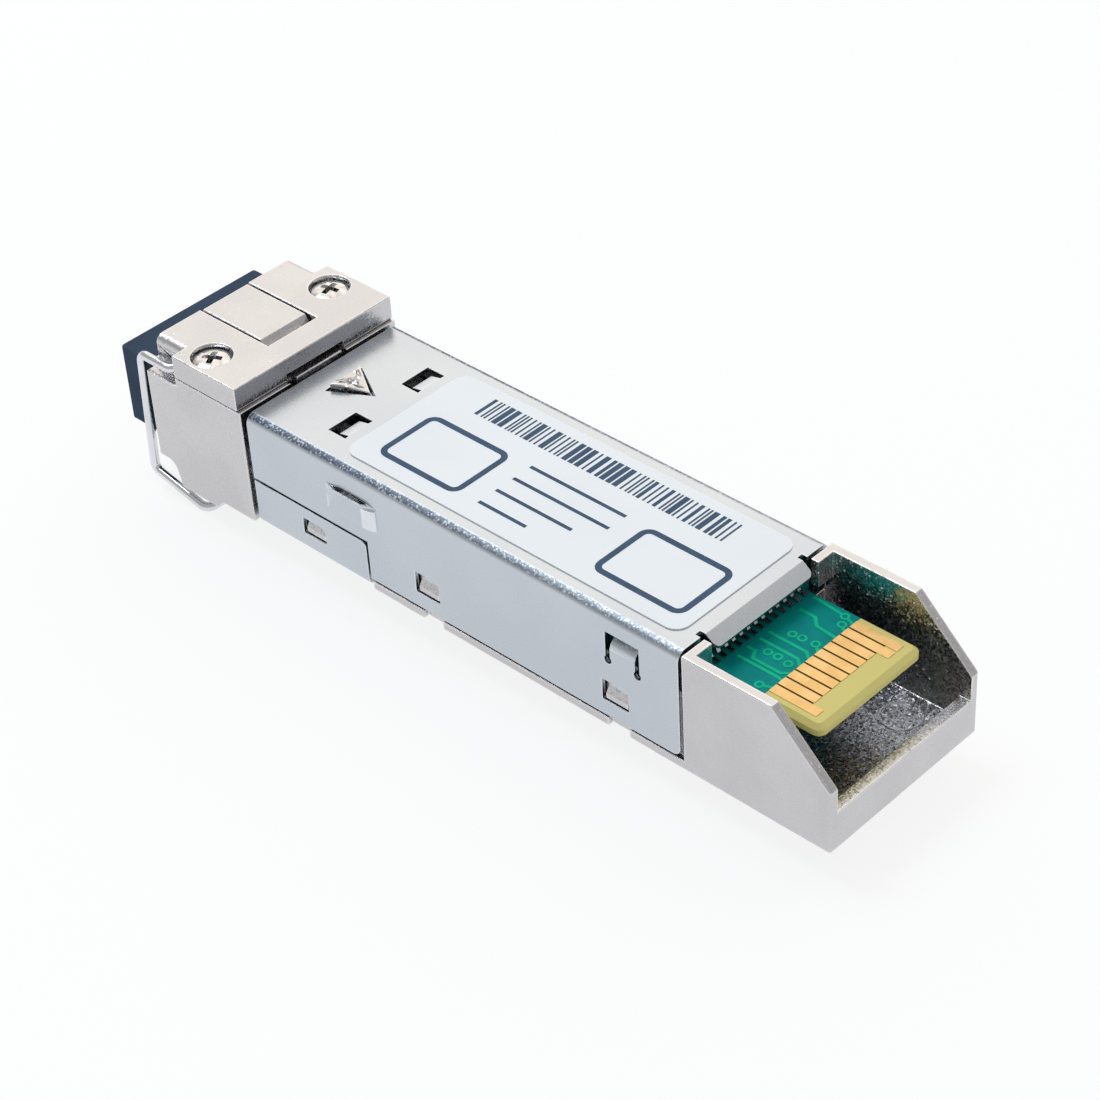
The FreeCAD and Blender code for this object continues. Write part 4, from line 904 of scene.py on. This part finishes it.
@dataclass
class NoseAndShroud:
    """Cast base with the nose in front and the shroud behind."""

    shop: PieceShop
    edge_round: float = 0.06
    mark_radius: float = 1.3
    mark_width: float = 0.1
    mark_height: float = 0.07
    mark_place: Point = (41.6, 4.0)
    mark_sides: int = 64
    floor_height: float = 1.0

    def build(self) -> None:
        """Build the casting, and the mark of its mould in the sheet finish that paints a highlight."""
        casting = self.shop.softened("base_housing", self.edge_round)
        self.shop.place("base_casting", casting, Finishes.CAST, Body.MODULE, "cast_metal", "base_housing")
        # The mould mark takes the lighter sheet finish as a painted highlight.
        self.shop.place("mould_mark", self._mould_mark(), Finishes.HIGHLIGHT_SHEET, Body.MODULE, "cast_metal")

    def _mould_mark(self) -> BMesh:
        """Build the round ejector mark on the floor of the shroud.

        Returns:
            The working mesh.
        """
        middle = (SHOULDER + self.mark_place[0], self.mark_place[1])
        inner = circle(middle, self.mark_radius - self.mark_width, self.mark_sides)
        outer = circle(middle, self.mark_radius, self.mark_sides)
        floor = UNDERSIDE + self.floor_height
        work = bmesh.new()
        add_band(work, inner, outer, floor - self.mark_height, floor + self.mark_height)
        return work


@dataclass
class SheetWork:
    """Folded cover with its lanced louvres, and the clip under the front."""

    shop: PieceShop
    edge_round: float = 0.045
    cover_half: float = 6.7
    louvre_front: float = 4.95
    louvre_length: float = 4.45
    louvre_end: float = 1.0
    louvre_top: float = 6.7
    lip_radius: float = 0.08
    lip_bend: float = 0.5
    lip_drop: float = 0.22
    lip_sides: int = 12
    cheek_height: float = 1.5
    cheek_steps: int = 10

    def __post_init__(self) -> None:
        """Work out where the louvres stand in the frame."""
        self.front = SHOULDER + self.louvre_front
        self.rear = self.front + self.louvre_length
        self.level = UNDERSIDE + self.louvre_top - self.lip_drop
        self.proud = node_box("cover_shell")[1].y

    def build(self) -> None:
        """Build the two sheets, and the lips and rounded ends of the louvres in a painted-highlight finish.
        """
        for node, name in (("cover_shell", "folded_cover"), ("grounding_clip", "folded_clip")):
            sheet = self.shop.softened(node, self.edge_round)
            self.shop.place(name, sheet, Finishes.SHEET, Body.MODULE, "sheet_metal", node)
        for side, end in ((-1, "near"), (1, "far")):
            for part, make in (("lip", self._louvre_lip), ("cheek", self._louvre_cheek)):
                name = "louvre_%s_%s" % (part, end)
                # The lips and rounded ends take the lighter sheet finish as painted highlights.
                self.shop.place(name, make(side), Finishes.HIGHLIGHT_SHEET, Body.MODULE, "sheet_metal")

    def _louvre_lip(self, side: int) -> BMesh:
        """Roll a round lip along the upper edge of one louvre.

        Args:
            side: -1 for the near side of the cover, 1 for the far side.

        Returns:
            The working mesh.
        """
        sunk = self.cover_half - self.lip_radius
        proud = self.proud - self.lip_radius
        stations = (
            (self.front, sunk), (self.front + self.louvre_end, proud), (self.rear - self.louvre_end, proud),
            (self.rear, sunk),
        )
        corners = [Vector((along, side * across, self.level)) for along, across in stations]
        return tube(rounded_route(corners, [self.lip_bend] * 2), self.lip_radius, self.lip_sides)

    def _louvre_cheek(self, side: int) -> BMesh:
        """Round off the sloping rear end of one louvre, as a slab that takes a painted highlight.

        Args:
            side: -1 for the near side of the cover, 1 for the far side.

        Returns:
            The working mesh.
        """
        bulge = self.proud - self.cover_half
        outline = [(self.rear - self.louvre_end, side * self.cover_half)]
        for step in range(self.cheek_steps + 1):
            turn = math.pi / 2 * step / self.cheek_steps
            along = self.rear - self.louvre_end * (1 - math.sin(turn))
            outline.append((along, side * (self.cover_half + bulge * math.cos(turn))))
        work = bmesh.new()
        add_slab(work, outline, self.level - self.cheek_height, self.level)
        return work


@dataclass
class LatchGear:
    """Plate, rocker, screws and wire bail on top of the nose."""

    shop: PieceShop
    edge_round: float = 0.07
    edge_faces: int = 3
    wire_diameter: float = 0.65
    wire_bend: float = 0.6
    crank_bend: float = 0.35
    crank_offset: float = 0.55
    crank_half: float = 1.0
    crank_run: float = 0.6
    butt_gap: float = 0.3
    leg_clear: float = 0.8
    leg_lean: float = 0.5
    bar_behind: float = 1.45
    foot_above_bar: float = 1.1
    boss_length: float = 2.3
    boss_flat: float = 0.575
    boss_width: float = 2.6
    boss_height: float = 0.45
    boss_fall: float = 0.405
    boss_seed: int = 3
    boss_rough: float = 0.15
    boss_rows: int = 7
    boss_crease: float = 8.0
    head_diameter: float = 2.5
    head_height: float = 0.55
    head_dome: float = 0.22
    head_round: float = 0.025
    dome_turn: float = 1.35
    dome_steps: int = 8
    rim_drop: float = 0.08
    shank_diameter: float = 1.5
    cross_turns: Point = (0.5, 0.2)
    cross_length: float = 1.55
    cross_width: float = 0.42
    cross_depth: float = 0.5
    cross_foot: float = 0.55
    cutter_above: float = 0.1
    # Dark slabs that paint the shade in the cross recesses: their depth below the top, thickness, reach and
    # width.
    shade_below: float = 0.525
    shade_depth: float = 0.2
    shade_reach: float = 0.558
    shade_width: float = 0.336

    def build(self) -> None:
        """Build the plate, the rocker, the screws and the bail."""
        for node, name, body in (
            ("latch_plate", "nose_plate", Body.MODULE), ("latch_lever", "rocker", Body.ROCKER)
        ):
            casting = self.shop.softened(node, self.edge_round, self.edge_faces)
            self.shop.place(name, casting, Finishes.CAST, body, "cast_metal", node)
        self.shop.place(
            "boss_crown", self._boss_crown(), Finishes.CROWN, Body.ROCKER, "cast_metal",
            crease=self.boss_crease,
        )
        screws, recess_shade = self._screws()
        self.shop.place("cross_screws", screws, Finishes.SCREW, Body.MODULE, "screw_metal", "plate_screws")
        # Dark slabs that paint the shade in the cross recesses.
        self.shop.place("painted_recess_shade", recess_shade, Finishes.RECESS_SHADE, Body.MODULE, "screw_metal")
        self.shop.place("wire_bail", self._bail(), Finishes.WIRE, Body.BAIL, "bright_wire", "bail_wire")

    def _boss_crown(self) -> BMesh:
        """Lay a crown of rough as-cast facets on the ramp of the triangular latch boss.

        Returns:
            The working mesh.
        """
        foot = node_box("label")[0].z
        chance = random.Random(self.boss_seed)
        work = bmesh.new()
        grid = []
        for row in range(self.boss_rows + 1):
            share = row / self.boss_rows
            along = self.boss_length * (1 - share)
            half = self.boss_width / 2 * share
            down = max(along - self.boss_flat, 0.0) / (self.boss_length - self.boss_flat)
            level = foot + self.boss_height - self.boss_fall * down
            facets = []
            for step in range(row + 1):
                across = half * (2 * step / row - 1) if row else 0.0
                outside = row == self.boss_rows or step in (0, row)
                lift = chance.uniform(-1.0, 0.0 if outside else 1.0) * self.boss_rough
                facets.append(work.verts.new((SHOULDER + along, across, level + lift)))
            grid.append(facets)
        for here, there in zip(grid, grid[1:]):
            for step in range(len(here)):
                work.faces.new((here[step], there[step], there[step + 1]))
                if step:
                    work.faces.new((here[step - 1], there[step], here[step]))
        rim = bmesh.ops.extrude_edge_only(work, edges=[edge for edge in work.edges if edge.is_boundary])
        for part in rim["geom"]:
            if isinstance(part, bmesh.types.BMVert):
                part.co.z = foot - self.boss_height
        bmesh.ops.contextual_create(work, geom=[edge for edge in work.edges if edge.is_boundary])
        return work

    def _screws(self) -> tuple[BMesh, BMesh]:
        """Build the two cross-recess screws, and the painted shade in their recesses.

        Returns:
            Working meshes of the screws and of the painted shade.
        """
        low, high = node_box("plate_screws")
        screws = bmesh.new()
        recess_shade = bmesh.new()
        for side, turn in zip((-1, 1), self.cross_turns):
            middle = Vector(((low.x + high.x) / 2, side * (high.y - self.head_diameter / 2), 0))
            screw = self._one_screw(high.z, low.z)
            screw.transform(Matrix.Translation(middle) @ Matrix.Rotation(turn, 4, "Z"))
            part = freed_mesh(screw, "screw_part")
            screws.from_mesh(part)
            bpy.data.meshes.remove(part)
            foot = high.z - self.shade_below
            for wing in (turn, turn + math.pi / 2):
                reach = Vector((math.cos(wing), math.sin(wing))) * self.shade_reach
                ends = [tuple(middle.xy - reach), tuple(middle.xy + reach)]
                add_slab(recess_shade, ribbon_outline(ends, self.shade_width), foot, foot + self.shade_depth)
        return screws, recess_shade

    def _one_screw(self, top: float, foot: float) -> BMesh:
        """Build one screw with a domed head on the axis.

        Args:
            top: Height of the head's top.
            foot: Height of the shank's end.

        Returns:
            The working mesh.
        """
        radius = self.head_diameter / 2
        shank = self.shank_diameter / 2
        seat = top - self.head_height
        fall = self.head_dome / (1 - math.cos(self.dome_turn))
        turns = [self.dome_turn * step / self.dome_steps for step in range(self.dome_steps + 1)]
        dome = [(radius * math.sin(turn), top - fall * (1 - math.cos(turn))) for turn in turns]
        rim = [(radius, top - self.head_dome - self.rim_drop), (radius, seat)]
        cutters = [self._cross_cutter(top, turn) for turn in (0, math.pi / 2)]
        screw = carved(lathe(dome + rim + [(shank, seat), (shank, foot), (0, foot)]), cutters)
        round_edges(screw, self.head_round, clamp=True)
        return screw

    def _cross_cutter(self, top: float, turn: float) -> BMesh:
        """Build one wing of the cross recess, narrower at its foot.

        Args:
            top: Height of the head's top.
            turn: Angle of the wing.

        Returns:
            The working mesh.
        """
        outlines = []
        for share in (self.cross_foot, 1.0):
            length = self.cross_length / 2 * share
            width = self.cross_width / 2 * (1 + share) / 2
            outlines.append([(-length, -width), (length, -width), (length, width), (-length, width)])
        work = bmesh.new()
        add_slab(work, outlines[0], top - self.cross_depth, top + self.cutter_above, outlines[1])
        work.transform(Matrix.Rotation(turn, 4, "Z"))
        return work

    def _bail(self) -> BMesh:
        """Build the bail as one wire with true bends.

        Returns:
            The working mesh.
        """
        low, high = node_box("bail_wire")
        radius = self.wire_diameter / 2
        joints = frame["record"]["behaviour"]["joints"]
        pivot = Vector([joint for joint in joints if joint["name"] == "bail_swing"][0]["pos_m"]) / MM
        leg = high.y - radius
        leg_top = node_box("base_housing")[0].x - self.leg_clear
        bar = low.z + radius
        crank = pivot.x - self.crank_offset
        half = [
            Vector((crank, self.butt_gap / 2, pivot.z)),
            Vector((crank, self.crank_half, pivot.z)),
            Vector((pivot.x, self.crank_half + self.crank_run, pivot.z)),
            Vector((pivot.x, leg, pivot.z)),
            Vector((leg_top, leg, pivot.z)),
            Vector((leg_top - self.leg_lean, leg, bar + self.foot_above_bar)),
            Vector((pivot.x + self.bar_behind, leg, bar)),
        ]
        other = [Vector((point.x, -point.y, point.z)) for point in reversed(half)]
        radii = [self.crank_bend] * 2 + [self.wire_bend] * 4
        return tube(rounded_route(half + other, radii + radii[::-1]), radius)


@dataclass
class PortPlug:
    """Soft plug in the fibre port."""

    shop: PieceShop
    edge_round: float = 0.16
    edge_faces: int = 3

    def build(self) -> None:
        """Build the plug."""
        plug = self.shop.softened("dust_plug", self.edge_round, self.edge_faces)
        self.shop.place("port_plug", plug, Finishes.PLUG, Body.PLUG, "plug_plastic", "dust_plug")


@dataclass
class TopLabel:
    """White label with a plain row of bars, rules and two blank fields."""

    shop: PieceShop
    print_height: float = 0.012
    print_sink: float = 0.01
    bars_from: float = 3.6
    bars_to: float = 24.0
    bar_inner: float = 2.55
    bar_outer: float = 4.5
    seed: int = 7
    thin_bar: float = 0.13
    bar_steps: tuple[int, ...] = (1, 1, 2, 1, 3)
    gap_steps: tuple[int, ...] = (1, 2, 1, 1, 2)
    field_line: float = 0.42
    field_round: float = 0.8
    fields: tuple[tuple[Point, Point], ...] = (((1.7, -4.2), (8.6, 0.9)), ((19.6, -4.2), (26.6, 0.9)))
    rule_width: float = 0.26
    rules: tuple[tuple[Point, Point], ...] = (
        ((10.2, 0.75), (18.0, 0.75)), ((10.2, -0.75), (18.0, -0.75)), ((10.2, -2.25), (16.4, -2.25)),
        ((10.2, -3.75), (14.1, -3.75)),
    )

    def build(self) -> None:
        """Dress the label and lay the print on it."""
        self.shop.dress("label", Finishes.LABEL)
        low, high = node_box("label")
        foot = high.z - self.print_sink
        top = high.z + self.print_height
        work = bmesh.new()
        for outline in self._bars(low.x):
            add_slab(work, outline, foot, top)
        for rule in self.rules:
            route = [(low.x + along, across) for along, across in rule]
            add_slab(work, ribbon_outline(route, self.rule_width), foot, top)
        for (near_x, near_y), (far_x, far_y) in self.fields:
            inner, outer = (
                rounded_box(
                    (low.x + near_x + inset, near_y + inset), (low.x + far_x - inset, far_y - inset),
                    self.field_round - inset,
                )
                for inset in (self.field_line, 0.0)
            )
            add_band(work, inner, outer, foot, top)
        self.shop.place("label_print", work, Finishes.PRINT, Body.MODULE, "label_film")

    def _bars(self, front: float) -> list[list[Point]]:
        """Return a row of bars of chance widths along the far side of the label.

        Args:
            front: Place of the label's front edge.

        Returns:
            Outlines of the bars.
        """
        chance = random.Random(self.seed)
        outlines = []
        place = front + self.bars_from
        while place < front + self.bars_to:
            width = self.thin_bar * chance.choice(self.bar_steps)
            outlines.append([
                (place, self.bar_inner), (place + width, self.bar_inner),
                (place + width, self.bar_outer), (place, self.bar_outer),
            ])
            place += width + self.thin_bar * chance.choice(self.gap_steps)
        return outlines


@dataclass
class CardEdge:
    """Board with its contacts, traces and chip leads, seen behind the flap."""

    shop: PieceShop
    short_contact: float = 2.6
    trace_width: float = 0.22
    trace_height: float = 0.02
    trace_sink: float = 0.01
    via_height: float = 0.026
    via_inner: float = 0.16
    via_outer: float = 0.31
    vias: tuple[Point, ...] = (
        (-2.16, -1.41), (-1.46, -1.38), (-0.62, -1.48), (-2.1, 0.69), (-1.44, 0.77), (-0.52, 0.85),
        (-0.79, 3.84), (-0.47, 3.15), (-0.73, -3.87),
    )
    traces: tuple[tuple[Point, ...], ...] = (
        ((0.0, -3.6), (-0.45, -3.8)),
        ((0.0, -2.8), (-0.3, -2.72), (-3.3, -2.72)),
        ((0.0, -2.0), (-0.45, -2.36), (-2.5, -2.36), (-2.8, -1.78), (-3.4, -1.78)),
        ((0.0, -1.2), (-0.5, -0.78), (-3.3, -0.78)),
        ((0.0, -0.4), (-0.5, 0.0), (-3.3, 0.0)),
        ((0.0, 0.4), (-0.32, 0.68)),
        ((0.0, 2.0), (-1.5, 2.15), (-2.05, 2.7), (-3.2, 2.7)),
        ((0.0, 2.8), (-0.25, 2.95)),
        ((0.0, 3.6), (-0.5, 3.76)),
        ((-1.08, 3.88), (-2.74, 4.05), (-3.3, 4.05)),
    )

    def build(self) -> None:
        """Dress the board, its contacts and its leads, and lay traces and via rings under the mask."""
        for node, finish in (
            ("circuit_board", Finishes.BOARD), ("solder_joints", Finishes.SOLDER),
            ("contact_pads_upper", Finishes.GOLD), ("contact_pads_lower", Finishes.GOLD),
        ):
            self.shop.dress(node, finish)
        front, level = node_box("contact_pads_upper")[0].xz
        foot = level - self.trace_sink
        work = bmesh.new()
        for route in self.traces:
            points = [(front + along, across) for along, across in route]
            add_slab(work, ribbon_outline(points, self.trace_width), foot, level + self.trace_height)
        for along, across in self.vias:
            middle = (front + along, across)
            inner = circle(middle, self.via_inner)
            add_band(work, inner, circle(middle, self.via_outer), foot, level + self.via_height)
        self.shop.place("board_traces", work, Finishes.TRACE, Body.MODULE, "board_laminate")


@dataclass
class InnerParts:
    """Pieces inside the cover, which keep their solids."""

    shop: PieceShop
    finishes: tuple[tuple[Finish, tuple[str, ...]], ...] = (
        (Finishes.SPRING, ("lever_spring",)),
        (Finishes.TURNED, ("receptacle_barrel", "optical_block", "laser_can", "detector_can")),
        (Finishes.CERAMIC, ("ferrule_sleeve",)),
        (Finishes.FLEX, ("laser_flex", "detector_flex")),
        (Finishes.CHIP, ("driver_chip", "controller_chip", "chip_resistors")),
        (Finishes.CAPACITOR, ("chip_capacitors",)),
        (Finishes.GEL, ("thermal_pad",)),
    )

    def build(self) -> None:
        """Dress each inner piece."""
        for finish, nodes in self.finishes:
            for node in nodes:
                self.shop.dress(node, finish)


@dataclass
class PhotoCamera:
    """Camera at the photograph's place and angle, with its clip distances in metres."""

    azimuth: float = 45.642
    elevation: float = 38.182
    roll: float = -3.747
    place: Triple = (101.211, -96.228, 113.999)
    lens: float = 93.47
    sensor: float = 36.0
    clip_near: float = 0.005
    clip_far: float = 10.0

    def build(self) -> None:
        """Make the camera and let the scene use it."""
        turn, rise, lean = (math.radians(angle) for angle in (self.azimuth, self.elevation, self.roll))
        back = Vector((math.sin(turn) * math.cos(rise), -math.cos(turn) * math.cos(rise), math.sin(rise)))
        level = Vector((0, 0, 1)).cross(back).normalized()
        upright = back.cross(level)
        right = level * math.cos(lean) + upright * math.sin(lean)
        above = upright * math.cos(lean) - level * math.sin(lean)
        data = bpy.data.cameras.new("photo_camera")
        data.lens = self.lens
        data.sensor_width = self.sensor
        data.clip_start = self.clip_near
        data.clip_end = self.clip_far
        camera = linked("photo_camera", data)
        turned = Matrix((right, above, back)).transposed().to_4x4()
        camera.matrix_world = Matrix.Translation(Vector(self.place) * MM) @ turned
        bpy.context.scene.camera = camera


@dataclass
class Studio:
    """Pale floor, soft lamp, and a world bright behind the module and dim at its sides, in metres."""

    floor_size: float = 6.0
    floor_colour: Colour = (0.92, 0.94, 0.96, 1.0)
    floor_roughness: float = 0.9
    floor_glow: float = 0.82
    bright: Colour = (1.4, 1.32, 1.215, 1.0)
    dim: Colour = (0.5, 0.495, 0.49, 1.0)
    bright_way: Triple = (-0.35, 0.8, 0.48)
    bright_band: Point = (0.52, 0.9)
    backdrop: Colour = (0.85, 0.86, 0.88, 1.0)
    backdrop_band: Point = (0.09, 0.3)
    lamp_place: Triple = (-0.325, -0.03, 0.56)
    lamp_colour: Triple = (0.92, 1.0, 1.07)
    lamp_size: float = 0.28
    lamp_power: float = 1.45

    def build(self) -> None:
        """Build the floor, the world and the lamp."""
        self._floor()
        self._world()
        self._lamp()
        bpy.context.scene.view_settings.view_transform = "Standard"

    def _floor(self) -> None:
        """Lay the pale floor, which looks evenly lit to the camera and in reflections."""
        half = self.floor_size / 2
        work = bmesh.new()
        work.faces.new(ring(work, ((-half, -half), (half, -half), (half, half), (-half, half)), 0.0))
        floor = linked("floor", freed_mesh(work, "floor"))
        material = bpy.data.materials.new("pale_floor")
        material.use_nodes = True
        material.node_tree.nodes.clear()
        graph = Graph(material.node_tree)
        shader = graph.node("ShaderNodeBsdfPrincipled")
        shader.inputs["Base Color"].default_value = self.floor_colour
        shader.inputs["Roughness"].default_value = self.floor_roughness
        glow = graph.node("ShaderNodeEmission").outputs["Emission"]
        path = graph.node("ShaderNodeLightPath").outputs
        mirrored = graph.math("MAXIMUM", path["Is Glossy Ray"], path["Is Transmission Ray"])
        seen = graph.math("MAXIMUM", path["Is Camera Ray"], mirrored)
        share = graph.math("MULTIPLY", seen, self.floor_glow)
        both = graph.node("ShaderNodeMixShader", share, shader.outputs["BSDF"], glow)
        graph.node("ShaderNodeOutputMaterial", both.outputs["Shader"])
        floor.data.materials.append(material)

    def _world(self) -> None:
        """Make the world bright in one direction, dim away from it, and pale near the floor."""
        world = bpy.data.worlds.new("studio")
        world.use_nodes = True
        world.node_tree.nodes.clear()
        graph = Graph(world.node_tree)
        way = graph.node("ShaderNodeTexCoord").outputs["Generated"]
        toward = graph.agreement(way, Vector(self.bright_way).normalized())
        sky = graph.blend(graph.ramp(toward, *self.bright_band), self.dim, self.bright)
        height = graph.ramp(graph.axes(way)["Z"], *self.backdrop_band)
        background = graph.node("ShaderNodeBackground", graph.blend(height, self.backdrop, sky))
        graph.node("ShaderNodeOutputWorld", background.outputs["Background"])
        bpy.context.scene.world = world

    def _lamp(self) -> None:
        """Hang the soft square lamp above and ahead of the module, facing it."""
        data = bpy.data.lights.new("overhead", "AREA")
        data.shape = "SQUARE"
        data.size = self.lamp_size
        data.energy = self.lamp_power
        data.color = self.lamp_colour
        lamp = linked("overhead", data)
        lamp.location = self.lamp_place
        lamp.rotation_mode = "QUATERNION"
        lamp.rotation_quaternion = (-Vector(self.lamp_place)).to_track_quat("-Z", "Y")


def main() -> None:
    """Build every sub-assembly, the camera and the studio, and note the size."""
    logging.basicConfig(level=logging.INFO, format="%(name)s: %(message)s")
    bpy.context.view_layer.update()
    shop = PieceShop(EffectLibrary())
    for assembly in (NoseAndShroud, SheetWork, LatchGear, PortPlug, TopLabel, CardEdge, InnerParts):
        assembly(shop).build()
    PhotoCamera().build()
    Studio().build()


if __name__ == "__main__":
    main()
